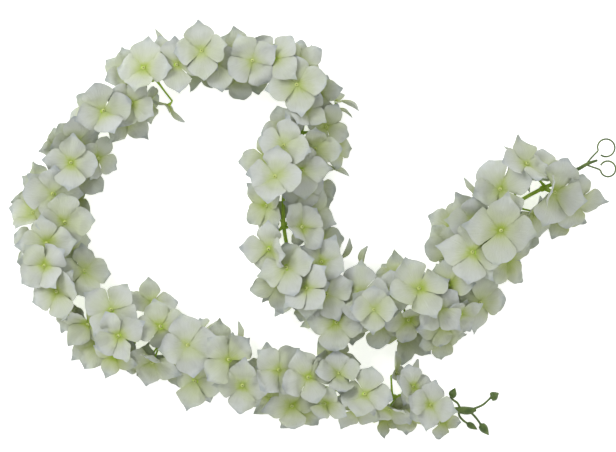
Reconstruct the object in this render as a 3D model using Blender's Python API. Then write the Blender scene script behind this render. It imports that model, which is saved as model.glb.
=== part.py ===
"""An artificial hydrangea garland, laid on a flat surface in an open loop.

A green stem carries moulded sprigs, each a sleeve with a few pedicels and a four-petalled floret
on each pedicel. One end of the stem has a spray of buds, the other has curly tendrils.
Lengths are in metres. X runs right and Y runs away over the surface, and +Z is up.
"""

import math
import random

import bmesh
import bpy
from mathutils import Vector
from mathutils.bvhtree import BVHTree

# driving dimensions
GRID = 0.0011
SHEET_X = 308.0
SHEET_Y = 226.0
SHIFT_X = 0.0057
SHIFT_Y = -0.0087
STEM_RADIUS = 0.0022
SLEEVE_LENGTH = 0.008
SLEEVE_BORE = 0.00258
SLEEVE_HALF = 0.0036
STRAIGHT_HALF = 0.0055
PETAL_SHEET = 0.0008
PEDICEL_RADIUS = 0.0011
NECK_DEPTH = 0.0065
BUTTON_HEIGHT = 0.0016
CLEARANCE = 0.0006
NOTCH = 0.12
SPRIG_FLORETS = 4
SIDEWAYS_SIZE = 0.72
TALLEST = 0.086
LOWEST = -0.0009
END_GAP = 0.0003
END_RUN = 0.005
LOOP_STEPS = 13
SEED = 1
SIDE_LEAN = (8.0, 42.0)
LOW_LEAN = (6.0, 32.0)
DROOP = 0.3

# the stem's route over the layout grid (x to the right, y down), with its height in millimetres
STEM_ROUTE = (
    (457, 412, 19), (444, 409, 22), (425, 404, 26), (390, 398, 30), (350, 393, 30), (310, 387, 30),
    (270, 379, 30), (230, 367, 30), (195, 354, 30), (160, 338, 30), (125, 321, 30), (93, 302, 30),
    (67, 276, 30), (52, 246, 30), (48, 215, 30), (56, 185, 30), (73, 150, 30), (94, 124, 30),
    (124, 95, 30), (152, 77, 30), (185, 64, 30), (220, 60, 30), (255, 62, 30), (282, 68, 30),
    (299, 85, 30), (304, 112, 30), (298, 145, 30), (286, 178, 30), (283, 215, 30), (288, 250, 30),
    (302, 278, 30), (328, 297, 30), (362, 307, 30), (400, 306, 30), (435, 293, 30), (462, 268, 30),
    (487, 237, 30), (515, 206, 30), (543, 189, 28), (560, 182, 23), (569, 177, 20),
)

# the florets over the same grid: layer, x, y and the turn of one petal in degrees
FLORETS = (
    ("t", 430, 404, 75), ("e", 422, 388, 103), ("u", 447, 414, 272), ("t", 407, 392, 95),
    ("u", 408, 417, 270), ("s", 389, 410, 315), ("u", 383, 417, 256), ("t", 364, 388, 70),
    ("s", 356, 410, 240), ("t", 340, 383, 75), ("s", 333, 402, 262), ("t", 308, 376, 110),
    ("s", 291, 406, 278), ("u", 298, 404, 322), ("t", 279, 369, 135), ("u", 276, 397, 238),
    ("t", 243, 384, 265), ("t", 231, 360, 45), ("s", 266, 368, 88), ("s", 297, 372, 92),
    ("e", 238, 348, 100), ("s", 219, 350, 95), ("u", 222, 381, 262), ("t", 195, 381, 78),
    ("t", 189, 346, 105), ("s", 197, 345, 85), ("t", 162, 326, 100), ("s", 151, 303, 100),
    ("t", 113, 309, 60), ("t", 128, 335, 45), ("s", 152, 363, 250), ("u", 122, 357, 250),
    ("u", 168, 361, 262), ("s", 94, 344, 243), ("s", 93, 326, 205), ("s", 83, 271, 3),
    ("t", 58, 291, 22), ("s", 66, 310, 243), ("t", 48, 266, 35), ("t", 48, 243, 5),
    ("s", 66, 250, 355), ("t", 66, 222, 5), ("s", 35, 238, 180), ("s", 30, 213, 165),
    ("l", 35, 200, 178), ("s", 40, 190, 147), ("t", 53, 196, 88), ("t", 73, 163, 175),
    ("s", 77, 176, 322), ("l", 64, 200, 305), ("t", 82, 139, 100), ("s", 66, 150, 190),
    ("s", 92, 152, 330), ("t", 105, 113, 108), ("s", 82, 120, 138), ("t", 131, 101, 330),
    ("s", 126, 116, 318), ("t", 145, 69, 85), ("s", 130, 73, 112), ("s", 160, 66, 100),
    ("t", 178, 66, 95), ("s", 202, 62, 262), ("e", 167, 104, -43), ("e", 171, 44, 119),
    ("t", 199, 54, 95), ("t", 217, 63, 100), ("s", 242, 57, 92), ("t", 253, 62, 30),
    ("s", 243, 68, 265), ("l", 258, 64, 272), ("t", 272, 60, 50), ("s", 276, 56, 75),
    ("s", 292, 66, 60), ("e", 311, 67, 88), ("t", 297, 86, 10), ("t", 304, 111, 45),
    ("s", 294, 98, 190), ("s", 293, 118, 185), ("s", 316, 90, 15), ("e", 337, 99, -17),
    ("e", 331, 108, -24), ("s", 323, 124, -12), ("t", 284, 146, 165), ("t", 303, 169, 5),
    ("s", 311, 152, 350), ("e", 328, 166, -34), ("t", 277, 175, 172), ("t", 304, 194, 8),
    ("s", 308, 188, 0), ("s", 268, 206, 212), ("s", 308, 212, 340), ("t", 300, 228, 45),
    ("s", 312, 240, 0), ("t", 269, 249, 178), ("t", 287, 266, 195), ("t", 322, 262, 60),
    ("e", 340, 261, 65), ("s", 279, 283, 188), ("t", 308, 285, 230), ("t", 327, 294, 20),
    ("t", 357, 292, 93), ("e", 363, 270, 74), ("t", 371, 307, 350), ("s", 289, 292, 252),
    ("s", 306, 304, 268), ("t", 336, 320, 268), ("l", 325, 314, 255), ("l", 354, 318, 275),
    ("s", 380, 324, 265), ("t", 389, 295, 98), ("t", 413, 290, 110), ("s", 405, 318, 270),
    ("t", 438, 306, 310), ("s", 441, 325, 280), ("s", 443, 286, 80), ("s", 456, 308, 322),
    ("s", 480, 302, 355), ("s", 455, 249, 175), ("s", 458, 228, 165), ("t", 471, 252, 260),
    ("t", 498, 231, 85), ("t", 474, 220, 96), ("e", 484, 200, 110), ("l", 492, 252, 285),
    ("l", 508, 244, 290), ("t", 503, 191, 115), ("e", 519, 173, 110), ("t", 523, 172, 25),
    ("s", 543, 174, 95), ("t", 553, 192, 80), ("s", 536, 210, 291), ("s", 574, 199, 352),
    ("e", 396, 375, 105), ("u", 153, 98, 290), ("u", 36, 246, 185), ("s", 269, 157, 180),
    ("u", 328, 150, 350), ("s", 198, 42, 90), ("u", 270, 216, 200), ("u", 122, 366, 250),
    ("u", 403, 282, 95), ("u", 412, 330, 265), ("u", 438, 333, 270), ("u", 466, 318, 290),
    ("u", 508, 262, 300), ("u", 334, 368, 80), ("u", 142, 368, 255), ("u", 82, 338, 225),
    ("u", 580, 206, 320),
)

# the bud spray: the hub, then each stalk with the bud on it: x, y, height and radius in millimetres
BUD_HUB = ((465, 413.5, 17, 3.7), (472, 414, 15.5, 3.7), (479, 413, 14, 2.0))
BUD_STALKS = (
    ((470, 414, 16.5), (480, 411, 14.5), (487, 408, 12.5), (494, 402, 11.0), (503, 396.5, 10.0)),
    ((472, 414, 16.0), (477, 419, 14.0), (480.5, 423, 11.5), (484, 428, 9.0), (493, 440, 7.5)),
    ((461, 412, 18.5), (462, 419, 16.5), (466, 424, 14.0), (470, 427, 12.0), (481, 434, 10.0)),
    ((463, 412, 17.5), (460, 406, 19.5), (456, 403, 21.5), (453, 400, 23.5), (457, 390, 25.0)),
)
BUD_RADIUS = (4.4, 4.0, 3.2, 3.8)

# the tendril spray: its stalk, the thin tendril and the two that end in a loop, in the same units
TENDRIL_STALK = (
    (576, 171.0, 18.0, 2.2), (584, 167.5, 16.5, 2.1), (593, 162.5, 14.5, 1.9), (603, 159, 13.0, 1.3),
)
THIN_TENDRIL = (
    (579, 169.5, 17.2), (573, 166, 18.5), (568, 166.5, 19.5), (561, 169, 20.5), (554, 169, 21.0),
    (547, 167, 21.5),
)
LOOPS = (
    ((591, 163.5, 14.5), (597, 156.5, 12.5), (601.5, 152.0, 10.5), (613, 146, 8.0), 9.0, 199, -325),
    ((591, 163.5, 14.5), (599, 166.0, 12.0), (604.0, 167.5, 10.0), (615, 167.5, 7.0), 8.0, 192, 320),
)
STALK_RADIUS = 1.3
TENDRIL_RADIUS = 0.95

# places kept open from above: x, y, half-width and the height they start from in millimetres
OPEN_PLACES = (
    (77, 302, 2.4, 0), (157, 95, 2.0, 0), (176, 361, 2.0, 0), (28, 227, 1.6, 0),
    (284, 105, 2.0, 0), (391, 401, 1.8, 0), (354, 379, 2.0, 0), (139, 341, 5.0, 38),
    (160, 352, 3.0, 38), (100, 136, 3.0, 38), (151, 99, 3.0, 38), (307, 130, 2.0, 38),
    (397, 393, 3.0, 38), (282, 200, 2.2, 34), (283, 208, 2.2, 34), (283, 216, 2.2, 34),
    (284, 224, 2.2, 34), (285, 232, 2.2, 34), (286, 240, 2.2, 34), (524, 202, 2.0, 34),
    (532, 197, 2.0, 34), (540, 193, 1.6, 32), (409, 305, 2.6, 38),
)


def grid_point(x, y, height):
    """A point of the layout grid, in metres."""
    return Vector(((x - SHEET_X) * GRID - SHIFT_X, (SHEET_Y - y) * GRID - SHIFT_Y, height))


def smooth_route(points, steps):
    """A Catmull-Rom curve through the points."""
    out = []
    last = len(points) - 1
    for i in range(last):
        a = points[max(i - 1, 0)]
        b = points[i]
        c = points[i + 1]
        d = points[min(i + 2, last)]
        for k in range(steps):
            t = k / steps
            out.append(
                0.5 * (2.0 * b + (c - a) * t + (2.0 * a - 5.0 * b + 4.0 * c - d) * t * t
                       + (3.0 * b - a - 3.0 * c + d) * t * t * t)
            )
    out.append(points[last].copy())
    return out


class Route:
    """The stem's centre line, measured along its length."""

    def __init__(self, points):
        self.points = points
        self.at = [0.0]
        for a, b in zip(points, points[1:]):
            self.at.append(self.at[-1] + (b - a).length)
        self.length = self.at[-1]

    def point(self, s):
        s = min(max(s, 0.0), self.length)
        low = 0
        high = len(self.at) - 1
        while high - low > 1:
            mid = (low + high) // 2
            if self.at[mid] <= s:
                low = mid
            else:
                high = mid
        span = self.at[high] - self.at[low]
        return self.points[low].lerp(self.points[high], (s - self.at[low]) / span)

    def chord(self, s, half):
        """The middle and the direction of the straight run that spans s."""
        a = self.point(s - half)
        b = self.point(s + half)
        return (a + b) * 0.5, (b - a).normalized()

    def nearest(self, place):
        """How far along the route lies closest to a place, seen from above."""
        best = 0.0
        least = 1e9
        for p, s in zip(self.points, self.at):
            gap = (p.x - place.x) ** 2 + (p.y - place.y) ** 2
            if gap < least:
                least = gap
                best = s
        return best


ROUTE = Route(smooth_route([grid_point(x, y, z / 1000.0) for x, y, z in STEM_ROUTE], 12))


def petal_length(x, y):
    """Petals are small at the bud end and large at the tendril end."""
    if y > 365 and x > 330:
        return GRID * (28.5 - 4.0 * min((x - 330) / 100.0, 1.0))
    if x > 380:
        return GRID * (31.0 + 5.0 * min((x - 380) / 160.0, 1.0))
    return GRID * 28.5


class Floret:
    """One floret: where its centre is, which way it faces and how each petal bends."""

    def __init__(self, number, row):
        self.number = number
        self.layer = row[0]
        self.turn = math.radians(row[3])
        self.draw = random.Random(SEED * 1000 + number)
        self.length = petal_length(row[1], row[2]) * self.draw.uniform(0.95, 1.06)
        if self.layer == "e":
            self.length *= SIDEWAYS_SIZE
        flat = grid_point(row[1], row[2], 0.0)
        self.s = ROUTE.nearest(flat)
        stem, along = ROUTE.chord(self.s, 0.010)
        across = Vector((-along.y, along.x, 0.0)).normalized()
        off = (flat - stem).dot(across)
        side = 1.0 if off >= 0.0 else -1.0
        reach = abs(off)
        out = across * side
        up = Vector((0.0, 0.0, 1.0))
        if self.layer == "t":
            rise = math.sqrt(max(0.030 ** 2 - reach ** 2, 0.012 ** 2))
            lean = math.radians(14.0) + min(reach / 0.033, 1.0) * math.radians(20.0)
            lean *= self.draw.uniform(0.3, 1.1)
        elif self.layer == "s":
            rise = 0.006 - DROOP * max(reach - 0.015, 0.0)
            lean = math.radians(self.draw.uniform(*SIDE_LEAN))
        elif self.layer == "u":
            rise = -0.009
            lean = math.radians(self.draw.uniform(*LOW_LEAN))
        elif self.layer == "l":
            rise = -0.014
            lean = math.radians(self.draw.uniform(130.0, 165.0))
        else:
            rise = -0.004
            lean = math.radians(76.0)
        self.centre = flat.copy()
        self.centre.z = stem.z + rise
        if self.layer == "e":
            self.centre.z = max(self.centre.z, self.length * 1.05 + 0.002)
        if self.layer == "e":
            tip = Vector((math.cos(self.turn), math.sin(self.turn), 0.0))
            face = Vector((-tip.y, tip.x, 0.0)) * self.draw.choice((-1.0, 1.0))
            self.normal = (face * math.sin(lean) + up * math.cos(lean)).normalized()
        else:
            skew = along * self.draw.uniform(-0.22, 0.22)
            self.normal = (out * math.sin(lean) + up * math.cos(lean) + skew).normalized()
        self.bends = [0.0] * 4
        self.curls = [math.radians(self.draw.uniform(-34.0, 20.0)) for _ in range(4)]
        self.folds = [math.radians(self.draw.uniform(-10.0, 15.0)) for _ in range(4)]
        self.sizes = [self.draw.uniform(0.94, 1.04) for _ in range(4)]
        self.rest = [math.radians(self.draw.uniform(-2.0, 18.0)) for _ in range(4)]
        self.root = None
        self.root_face = None
        self.fine = self.layer == "t"
        self.set_axes()

    def set_axes(self):
        """Two directions in the floret's plane, kept near the surface's X and Y."""
        up = Vector((0.0, 0.0, 1.0))
        if self.normal.z > -0.4:
            turn = up.rotation_difference(self.normal)
            self.ax = turn @ Vector((1.0, 0.0, 0.0))
            self.ay = turn @ Vector((0.0, 1.0, 0.0))
        else:
            turn = (-up).rotation_difference(self.normal)
            self.ax = turn @ Vector((1.0, 0.0, 0.0))
            self.ay = turn @ Vector((0.0, -1.0, 0.0))

    def petal_axes(self, i):
        a = self.turn + i * math.pi / 2.0
        along = self.ax * math.cos(a) + self.ay * math.sin(a)
        across = self.ay * math.cos(a) - self.ax * math.sin(a)
        return along, across

    def petal_point(self, i, u, w, bend):
        """A point of petal i: u runs from the centre to the tip, w is the offset across it."""
        along, across = self.petal_axes(i)
        size = self.length * self.sizes[i]
        start = min(max(self.rest[i] + bend, -MOST_BEND), MOST_BEND)
        curl = self.curls[i]
        run = max(u - NOTCH, 0.0)
        if abs(curl) < 1e-4:
            out = run * math.cos(start)
            rise = run * math.sin(start)
        else:
            out = (math.sin(start + curl * run) - math.sin(start)) / curl
            rise = (math.cos(start) - math.cos(start + curl * run)) / curl
        out += min(u, NOTCH)
        wide = min(abs(w), 0.88 * out)
        lift = wide * math.tan(self.folds[i])
        tilt = start + curl * run
        out -= lift * math.sin(tilt)
        rise += lift * math.cos(tilt)
        side = wide if w >= 0.0 else -wide
        return self.centre + size * (along * out + across * side) + self.normal * (size * rise)

    def notch_point(self, i):
        """The inner corner between petal i and the one before it."""
        along, across = self.petal_axes(i)
        return self.centre + self.length * NOTCH * (along - across)

    def neck(self):
        return self.centre - self.normal * NECK_DEPTH


FINE_PETAL = ((0.40, 0.37), (0.74, 0.47), (1.0, 0.0), (0.74, -0.47), (0.40, -0.37))
PLAIN_PETAL = ((0.60, 0.49), (1.0, 0.0), (0.60, -0.49))


def petal_outline(floret, i, bend, grow=0.0):
    """The petal's outer points, from one notch round the tip to the other."""
    rows = FINE_PETAL if floret.fine else PLAIN_PETAL
    more = grow / floret.length
    points = []
    for u, w in rows:
        side = 0.0 if w == 0.0 else math.copysign(more, w)
        points.append(floret.petal_point(i, u + more, w + side, bend))
    return points


def petal_sheet(floret, i, bend, grow=0.0):
    """Points and triangles of one petal as a single sheet, with its notch corners."""
    outer = petal_outline(floret, i, bend, grow)
    first = floret.notch_point(i)
    last = floret.notch_point((i + 1) % 4)
    points = [first] + [outer[-1 - k] for k in range(len(outer))] + [last]
    count = len(points)
    if floret.fine:
        points.append(floret.petal_point(i, 0.56, 0.0, bend))
        faces = [(k, k + 1, count) for k in range(count - 1)]
        faces.append((count - 1, 0, count))
    else:
        faces = [(0, 1, 3), (0, 3, 4), (1, 2, 3)]
    return points, faces


def thick_sheet(points, faces, half):
    """A closed test shape round a sheet."""
    normals = [Vector((0.0, 0.0, 0.0)) for _ in points]
    for a, b, c in faces:
        n = (points[b] - points[a]).cross(points[c] - points[a]).normalized()
        normals[a] += n
        normals[b] += n
        normals[c] += n
    for n in normals:
        n.normalize()
    count = len(points)
    both = [p + n * half for p, n in zip(points, normals)]
    both += [p - n * half for p, n in zip(points, normals)]
    shell = list(faces) + [(c + count, b + count, a + count) for a, b, c in faces]
    edges = {}
    for a, b, c in faces:
        for e in ((a, b), (b, c), (c, a)):
            edges[e] = edges.get(e, 0) + 1
    for a, b in list(edges):
        if (b, a) not in edges:
            shell.append((a, a + count, b + count))
            shell.append((a, b + count, b))
    return both, shell


def rod(a, b, ra, rb):
    """A square test rod from a to b."""
    axis = (b - a).normalized()
    side = axis.orthogonal().normalized()
    over = axis.cross(side)
    points = []
    for centre, r in ((a, ra), (b, rb)):
        for k in range(4):
            t = k * math.pi / 2.0
            points.append(centre + side * (r * math.cos(t)) + over * (r * math.sin(t)))
    faces = [(0, 1, 2), (0, 2, 3), (4, 6, 5), (4, 7, 6)]
    for k in range(4):
        n = (k + 1) % 4
        faces.append((k, k + 4, n + 4))
        faces.append((k, n + 4, n))
    return points, faces


SQUARE = ((1, -1), (1, 1), (-1, 1), (-1, -1))


def sleeve_frame(s):
    """Centre, axis, side and top directions of the sleeve at s."""
    centre, axis = ROUTE.chord(s, STRAIGHT_HALF)
    side = Vector((-axis.y, axis.x, 0.0)).normalized()
    top = axis.cross(side).normalized()
    if top.z < 0.0:
        top = -top
    return centre, axis, side, top


def sleeve_roots(s):
    """Centres and outward directions of the eight places where a pedicel can leave a sleeve."""
    centre, axis, side, top = sleeve_frame(s)
    roots = []
    for half in (-1.0, 1.0):
        for out in (side, top, -side, -top):
            place = centre + out * SLEEVE_HALF + axis * (half * SLEEVE_LENGTH / 4.0)
            roots.append((place, out))
    return roots


def sleeve_box(s):
    centre, axis, side, top = sleeve_frame(s)
    points = []
    for step in (-0.5, 0.5):
        mid = centre + axis * (SLEEVE_LENGTH * step)
        points += [mid + (side * a + top * b) * SLEEVE_HALF for a, b in SQUARE]
    return points, rod(centre, centre + axis, 1.0, 1.0)[1]


def root_corners(s):
    """The corners of the eight places where a pedicel can leave a sleeve."""
    centre, axis, side, top = sleeve_frame(s)
    rings = []
    for step in (-0.5, 0.0, 0.5):
        mid = centre + axis * (SLEEVE_LENGTH * step)
        rings.append([mid + (side * a + top * b) * SLEEVE_HALF for a, b in SQUARE])
    out = []
    for half in range(2):
        for k in range(4):
            n = (k + 1) % 4
            out.append((rings[half][k], rings[half][n], rings[half + 1][n], rings[half + 1][k]))
    return out


def ring(centre, axis, points, radius):
    """A square ring round the axis, with its corners turned like the given points."""
    out = []
    for p in points:
        arm = p - centre
        arm -= axis * arm.dot(axis)
        out.append(centre + arm.normalized() * radius)
    return out


def matched(first, second, axis):
    """The order of the second ring's corners that follows the first ring's without a twist."""
    side = axis.orthogonal().normalized()
    over = axis.cross(side)

    def angles(points):
        mid = sum(points, Vector((0.0, 0.0, 0.0))) / 4.0
        return [math.atan2((p - mid).dot(over), (p - mid).dot(side)) for p in points]

    def winding(points):
        return sum(a.cross(b).dot(axis) for a, b in zip(points, points[1:] + points[:1]))

    mid = sum(second, Vector((0.0, 0.0, 0.0))) / 4.0
    base = angles(first)
    same = winding([p - first[0] for p in first]) * winding([p - mid for p in second]) > 0.0
    order = (0, 1, 2, 3) if same else (3, 2, 1, 0)
    best = None
    for shift in range(4):
        pick = [order[(k + shift) % 4] for k in range(4)]
        other = angles([second[k] for k in pick])
        off = sum(1.0 - math.cos(a - b) for a, b in zip(base, other))
        if best is None or off < best[0]:
            best = (off, pick)
    return best[1]


def stalk_top(floret, radius):
    """The pedicel's upper ring, by notch, and the order that follows the root's corners."""
    neck = floret.neck()
    root = sum(floret.root_ring, Vector((0.0, 0.0, 0.0))) / 4.0
    top = ring(neck, floret.normal, [floret.notch_point(i) for i in range(4)], radius)
    return top, matched(floret.root_ring, top, (neck - root).normalized())


def stalk_shape(floret, grow, skip):
    """The tapered pedicel from its root on the sleeve to its neck under the floret."""
    corners = floret.root_ring
    root = sum(corners, Vector((0.0, 0.0, 0.0))) / 4.0
    neck = floret.neck()
    top, pick = stalk_top(floret, PEDICEL_RADIUS + grow)
    top = [top[k] for k in pick]
    low = []
    for a, b in zip(corners, top):
        p = a.lerp(b, skip)
        mid = root.lerp(neck, skip)
        low.append(p + (p - mid).normalized() * grow * 0.5)
    points = low + top
    faces = [(0, 1, 2), (0, 2, 3), (4, 6, 5), (4, 7, 6)]
    for k in range(4):
        n = (k + 1) % 4
        faces.append((k, k + 4, n + 4))
        faces.append((k, n + 4, n))
    return points, faces


def calyx_shape(floret, grow):
    """The cone between the neck and the back of the floret."""
    neck = floret.neck()
    notches = [floret.notch_point(i) for i in range(4)]
    low = ring(neck, floret.normal, notches, PEDICEL_RADIUS + grow)
    high = [p + (p - floret.centre).normalized() * grow for p in notches]
    points = low + high
    faces = [(0, 1, 2), (0, 2, 3), (4, 6, 5), (4, 7, 6)]
    for k in range(4):
        n = (k + 1) % 4
        faces.append((k, k + 4, n + 4))
        faces.append((k, n + 4, n))
    return points, faces


def button_shape(floret, grow):
    """The raised button on the front of the floret."""
    low = [floret.notch_point(i) for i in range(4)]
    rise = floret.normal * (BUTTON_HEIGHT + PETAL_SHEET / 2.0 + grow)
    high = [floret.centre.lerp(p, 0.6) + rise for p in low]
    points = low + high
    return points, rod(floret.neck(), floret.centre, 1.0, 1.0)[1]


def line_points(rows):
    return [grid_point(row[0], row[1], row[2] / 1000.0) for row in rows]


def stem_end(s):
    """Two points in line with the stem's end, the first a small gap past it."""
    end = ROUTE.point(s)
    inner = ROUTE.point(END_RUN if s == 0.0 else s - END_RUN)
    out = (end - inner).normalized()
    return [end + out * END_GAP, end + out * (END_GAP + 0.003)]


def bud_tubes():
    """The hub and the four stalks, each swelling into a closed bud, as points and radii."""
    first = stem_end(0.0)
    hub = first + line_points(BUD_HUB)
    tubes = [(hub, [STEM_RADIUS, 0.0028] + [row[3] / 1000.0 for row in BUD_HUB])]
    swell = ((0.0, 0.3), (0.16, 0.86), (0.45, 1.0), (0.76, 0.62), (1.0, 0.09))
    for rows, radius in zip(BUD_STALKS, BUD_RADIUS):
        stalk = line_points(rows)
        base = stalk[-2]
        tip = stalk[-1]
        points = stalk[:-1] + [base.lerp(tip, t) for t, r in swell[1:]]
        radii = [STALK_RADIUS / 1000.0] * (len(stalk) - 1)
        radii += [radius * r / 1000.0 for t, r in swell[1:]]
        tubes.append((points, radii))
    return tubes


def tendril_tubes():
    """The tendrils' stalk, the thin tendril and the two looped ones, as points and radii."""
    stalk = stem_end(ROUTE.length) + line_points(TENDRIL_STALK)
    tubes = [(stalk, [STEM_RADIUS, STEM_RADIUS] + [row[3] / 1000.0 for row in TENDRIL_STALK])]
    thin = line_points(THIN_TENDRIL)
    tubes.append((thin, [TENDRIL_RADIUS / 1000.0 * (1.0 - 0.3 * k / len(thin)) for k in range(len(thin))]))
    for a, b, c, middle, size, start, sweep in LOOPS:
        points = line_points((a, b, c))
        centre = line_points((middle,))[0]
        for k in range(LOOP_STEPS + 1):
            t = math.radians(start + sweep * k / LOOP_STEPS)
            drop = 0.0025 * k / LOOP_STEPS
            points.append(centre + Vector((math.cos(t), math.sin(t), 0.0)) * (size * GRID)
                          + Vector((0.0, 0.0, 0.001 - drop)))
        tubes.append((points, [TENDRIL_RADIUS / 1000.0] * len(points)))
    return tubes


class Space:
    """Everything already placed, as separate shapes that a new shape must stay clear of."""

    def __init__(self):
        self.shapes = []

    def add(self, points, faces):
        low = Vector([min(p[k] for p in points) for k in range(3)])
        high = Vector([max(p[k] for p in points) for k in range(3)])
        self.shapes.append((low, high, points, faces))

    def near(self, centre, reach):
        points = []
        faces = []
        for low, high, own, tris in self.shapes:
            if any(low[k] > centre[k] + reach or high[k] < centre[k] - reach for k in range(3)):
                continue
            base = len(points)
            points += own
            faces += [(a + base, b + base, c + base) for a, b, c in tris]
        if not faces:
            return None
        return BVHTree.FromPolygons(points, faces, all_triangles=True)


def clear(tree, points, faces):
    if min(p.z for p in points) < LOWEST or max(p.z for p in points) > TALLEST:
        return False
    if tree is None:
        return True
    return not tree.overlap(BVHTree.FromPolygons(points, faces, all_triangles=True))


BEND_STEPS = (0, 10, -10, 20, -20, 30, -30, 42, -42, 54, -54)
MOST_BEND = math.radians(58.0)
MOST_STEP = math.radians(62.0)


def freed_sheet(floret, i, bend):
    """A petal with the corners it shares with its neighbours drawn in a little."""
    points, faces = petal_sheet(floret, i, bend)
    last = 6 if floret.fine else 4
    points[0] = points[0].lerp(points[1], 0.2)
    points[last] = points[last].lerp(points[last - 1], 0.2)
    return points, faces


def fit_petals(floret, tree):
    """Bends each petal until it is clear; returns the sum of the bends, or None."""
    total = 0.0
    own = Space()
    own.add(*stalk_shape(floret, 0.0, 0.0))
    own.add(*calyx_shape(floret, 0.0))
    for i in range(4):
        beside = own.near(floret.centre, 0.2)
        for step in BEND_STEPS:
            bend = math.radians(step)
            beyond = [abs(bend - floret.bends[k]) for k in ((i - 1) % 4, (i + 1) % 4) if k < i]
            if beyond and max(beyond) > MOST_STEP:
                continue
            points, faces = petal_sheet(floret, i, bend, CLEARANCE)
            if not clear(tree, *thick_sheet(points, faces, PETAL_SHEET / 2.0 + CLEARANCE)):
                continue
            points, faces = freed_sheet(floret, i, bend)
            if not clear(beside, *thick_sheet(points, faces, PETAL_SHEET / 2.0 + 0.0002)):
                continue
            floret.bends[i] = bend
            total += abs(step)
            points, faces = petal_sheet(floret, i, bend)
            own.add(*thick_sheet(points, faces, PETAL_SHEET / 2.0))
            break
        else:
            return None
    return total


def stalk_clear(floret, tree):
    neck = floret.neck()
    place, out = floret.root
    run = neck - place
    if run.length < 0.006 or run.normalized().dot(out) < 0.30:
        return False
    if run.normalized().dot(floret.normal) < 0.1:
        return False
    skip = min(0.0025 / run.length, 0.4)
    if not clear(tree, *stalk_shape(floret, CLEARANCE, skip)):
        return False
    if not clear(tree, *stalk_shape(floret, 0.0002, 0.0006 / run.length)):
        return False
    if not clear(tree, *button_shape(floret, CLEARANCE)):
        return False
    return clear(tree, *calyx_shape(floret, CLEARANCE))


class Sleeve:
    """One sprig's sleeve on the stem, with the places where pedicels can leave it."""

    def __init__(self, number, s):
        self.number = number
        self.s = s
        self.roots = sleeve_roots(s)
        self.corners = root_corners(s)
        self.free = list(range(8))

    def ranked(self, neck):
        """The free places, the one that faces the neck most squarely first."""
        def score(k):
            return -(neck - self.roots[k][0]).normalized().dot(self.roots[k][1])
        return sorted(self.free, key=score)


def sound(floret, sleeve):
    """Whether the floret's own faces, with its pedicel and sleeve, stay clear of one another."""
    bm = bmesh.new()
    faces = add_sleeve(bm, sleeve.s)
    add_floret(bm, floret, faces[floret.root_face])
    bmesh.ops.triangulate(bm, faces=[f for f in bm.faces if len(f.verts) > 3])
    bm.faces.ensure_lookup_table()
    tree = BVHTree.FromBMesh(bm, epsilon=0.0)
    good = True
    for a, b in tree.overlap(tree):
        if a < b and not set(bm.faces[a].verts) & set(bm.faces[b].verts):
            good = False
            break
    bm.free()
    return good


def settle(floret, sleeve, space, tries):
    """Tries poses round the wanted one and keeps the one that bends the petals least."""
    centre = floret.centre.copy()
    normal = floret.normal.copy()
    turn = floret.turn
    length = floret.length
    tree = space.near(centre, 0.085)
    best = None
    for k in range(tries):
        draw = random.Random(SEED * 1000000 + floret.number * 1000 + k)
        loose = 0.0 if k == 0 else 0.2 + min(k, 220) / 160.0
        move = Vector((draw.uniform(-1, 1), draw.uniform(-1, 1), draw.uniform(-1, 1)))
        floret.centre = centre + Vector((move.x * 0.009, move.y * 0.009, move.z * 0.014)) * loose
        lean = Vector((draw.uniform(-1, 1), draw.uniform(-1, 1), draw.uniform(-1, 1)))
        floret.normal = (normal + lean * 0.5 * loose).normalized()
        floret.turn = turn + math.radians(draw.uniform(-18, 18)) * loose
        small = draw.choice((0.0, 0.1, 0.2) if k < 160 else (0.1, 0.2, 0.3)) if k > 24 else 0.0
        floret.length = length * (1.0 - small)
        floret.set_axes()
        ranked = sleeve.ranked(floret.neck())
        pick = ranked[draw.choice((0, 0, 1)) if k > 12 else 0]
        floret.root = sleeve.roots[pick]
        floret.root_face = pick
        floret.root_ring = sleeve.corners[pick]
        if not stalk_clear(floret, tree):
            continue
        total = fit_petals(floret, tree)
        if total is None:
            continue
        drift = math.hypot(floret.centre.x - centre.x, floret.centre.y - centre.y)
        cost = total + 7000.0 * drift + 200.0 * small
        if (best is None or cost < best[0]) and sound(floret, sleeve):
            best = (cost, floret.centre.copy(), floret.normal.copy(), floret.turn,
                    floret.length, list(floret.bends), pick)
        if best is not None and best[0] < 30.0 + 0.8 * k:
            break
    if best is None:
        floret.centre = centre
        floret.normal = normal
        floret.turn = turn
        floret.length = length
        floret.set_axes()
        return False
    cost, floret.centre, floret.normal, floret.turn, floret.length, floret.bends, pick = best
    floret.set_axes()
    floret.root = sleeve.roots[pick]
    floret.root_face = pick
    floret.root_ring = sleeve.corners[pick]
    sleeve.free.remove(pick)
    return True


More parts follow.
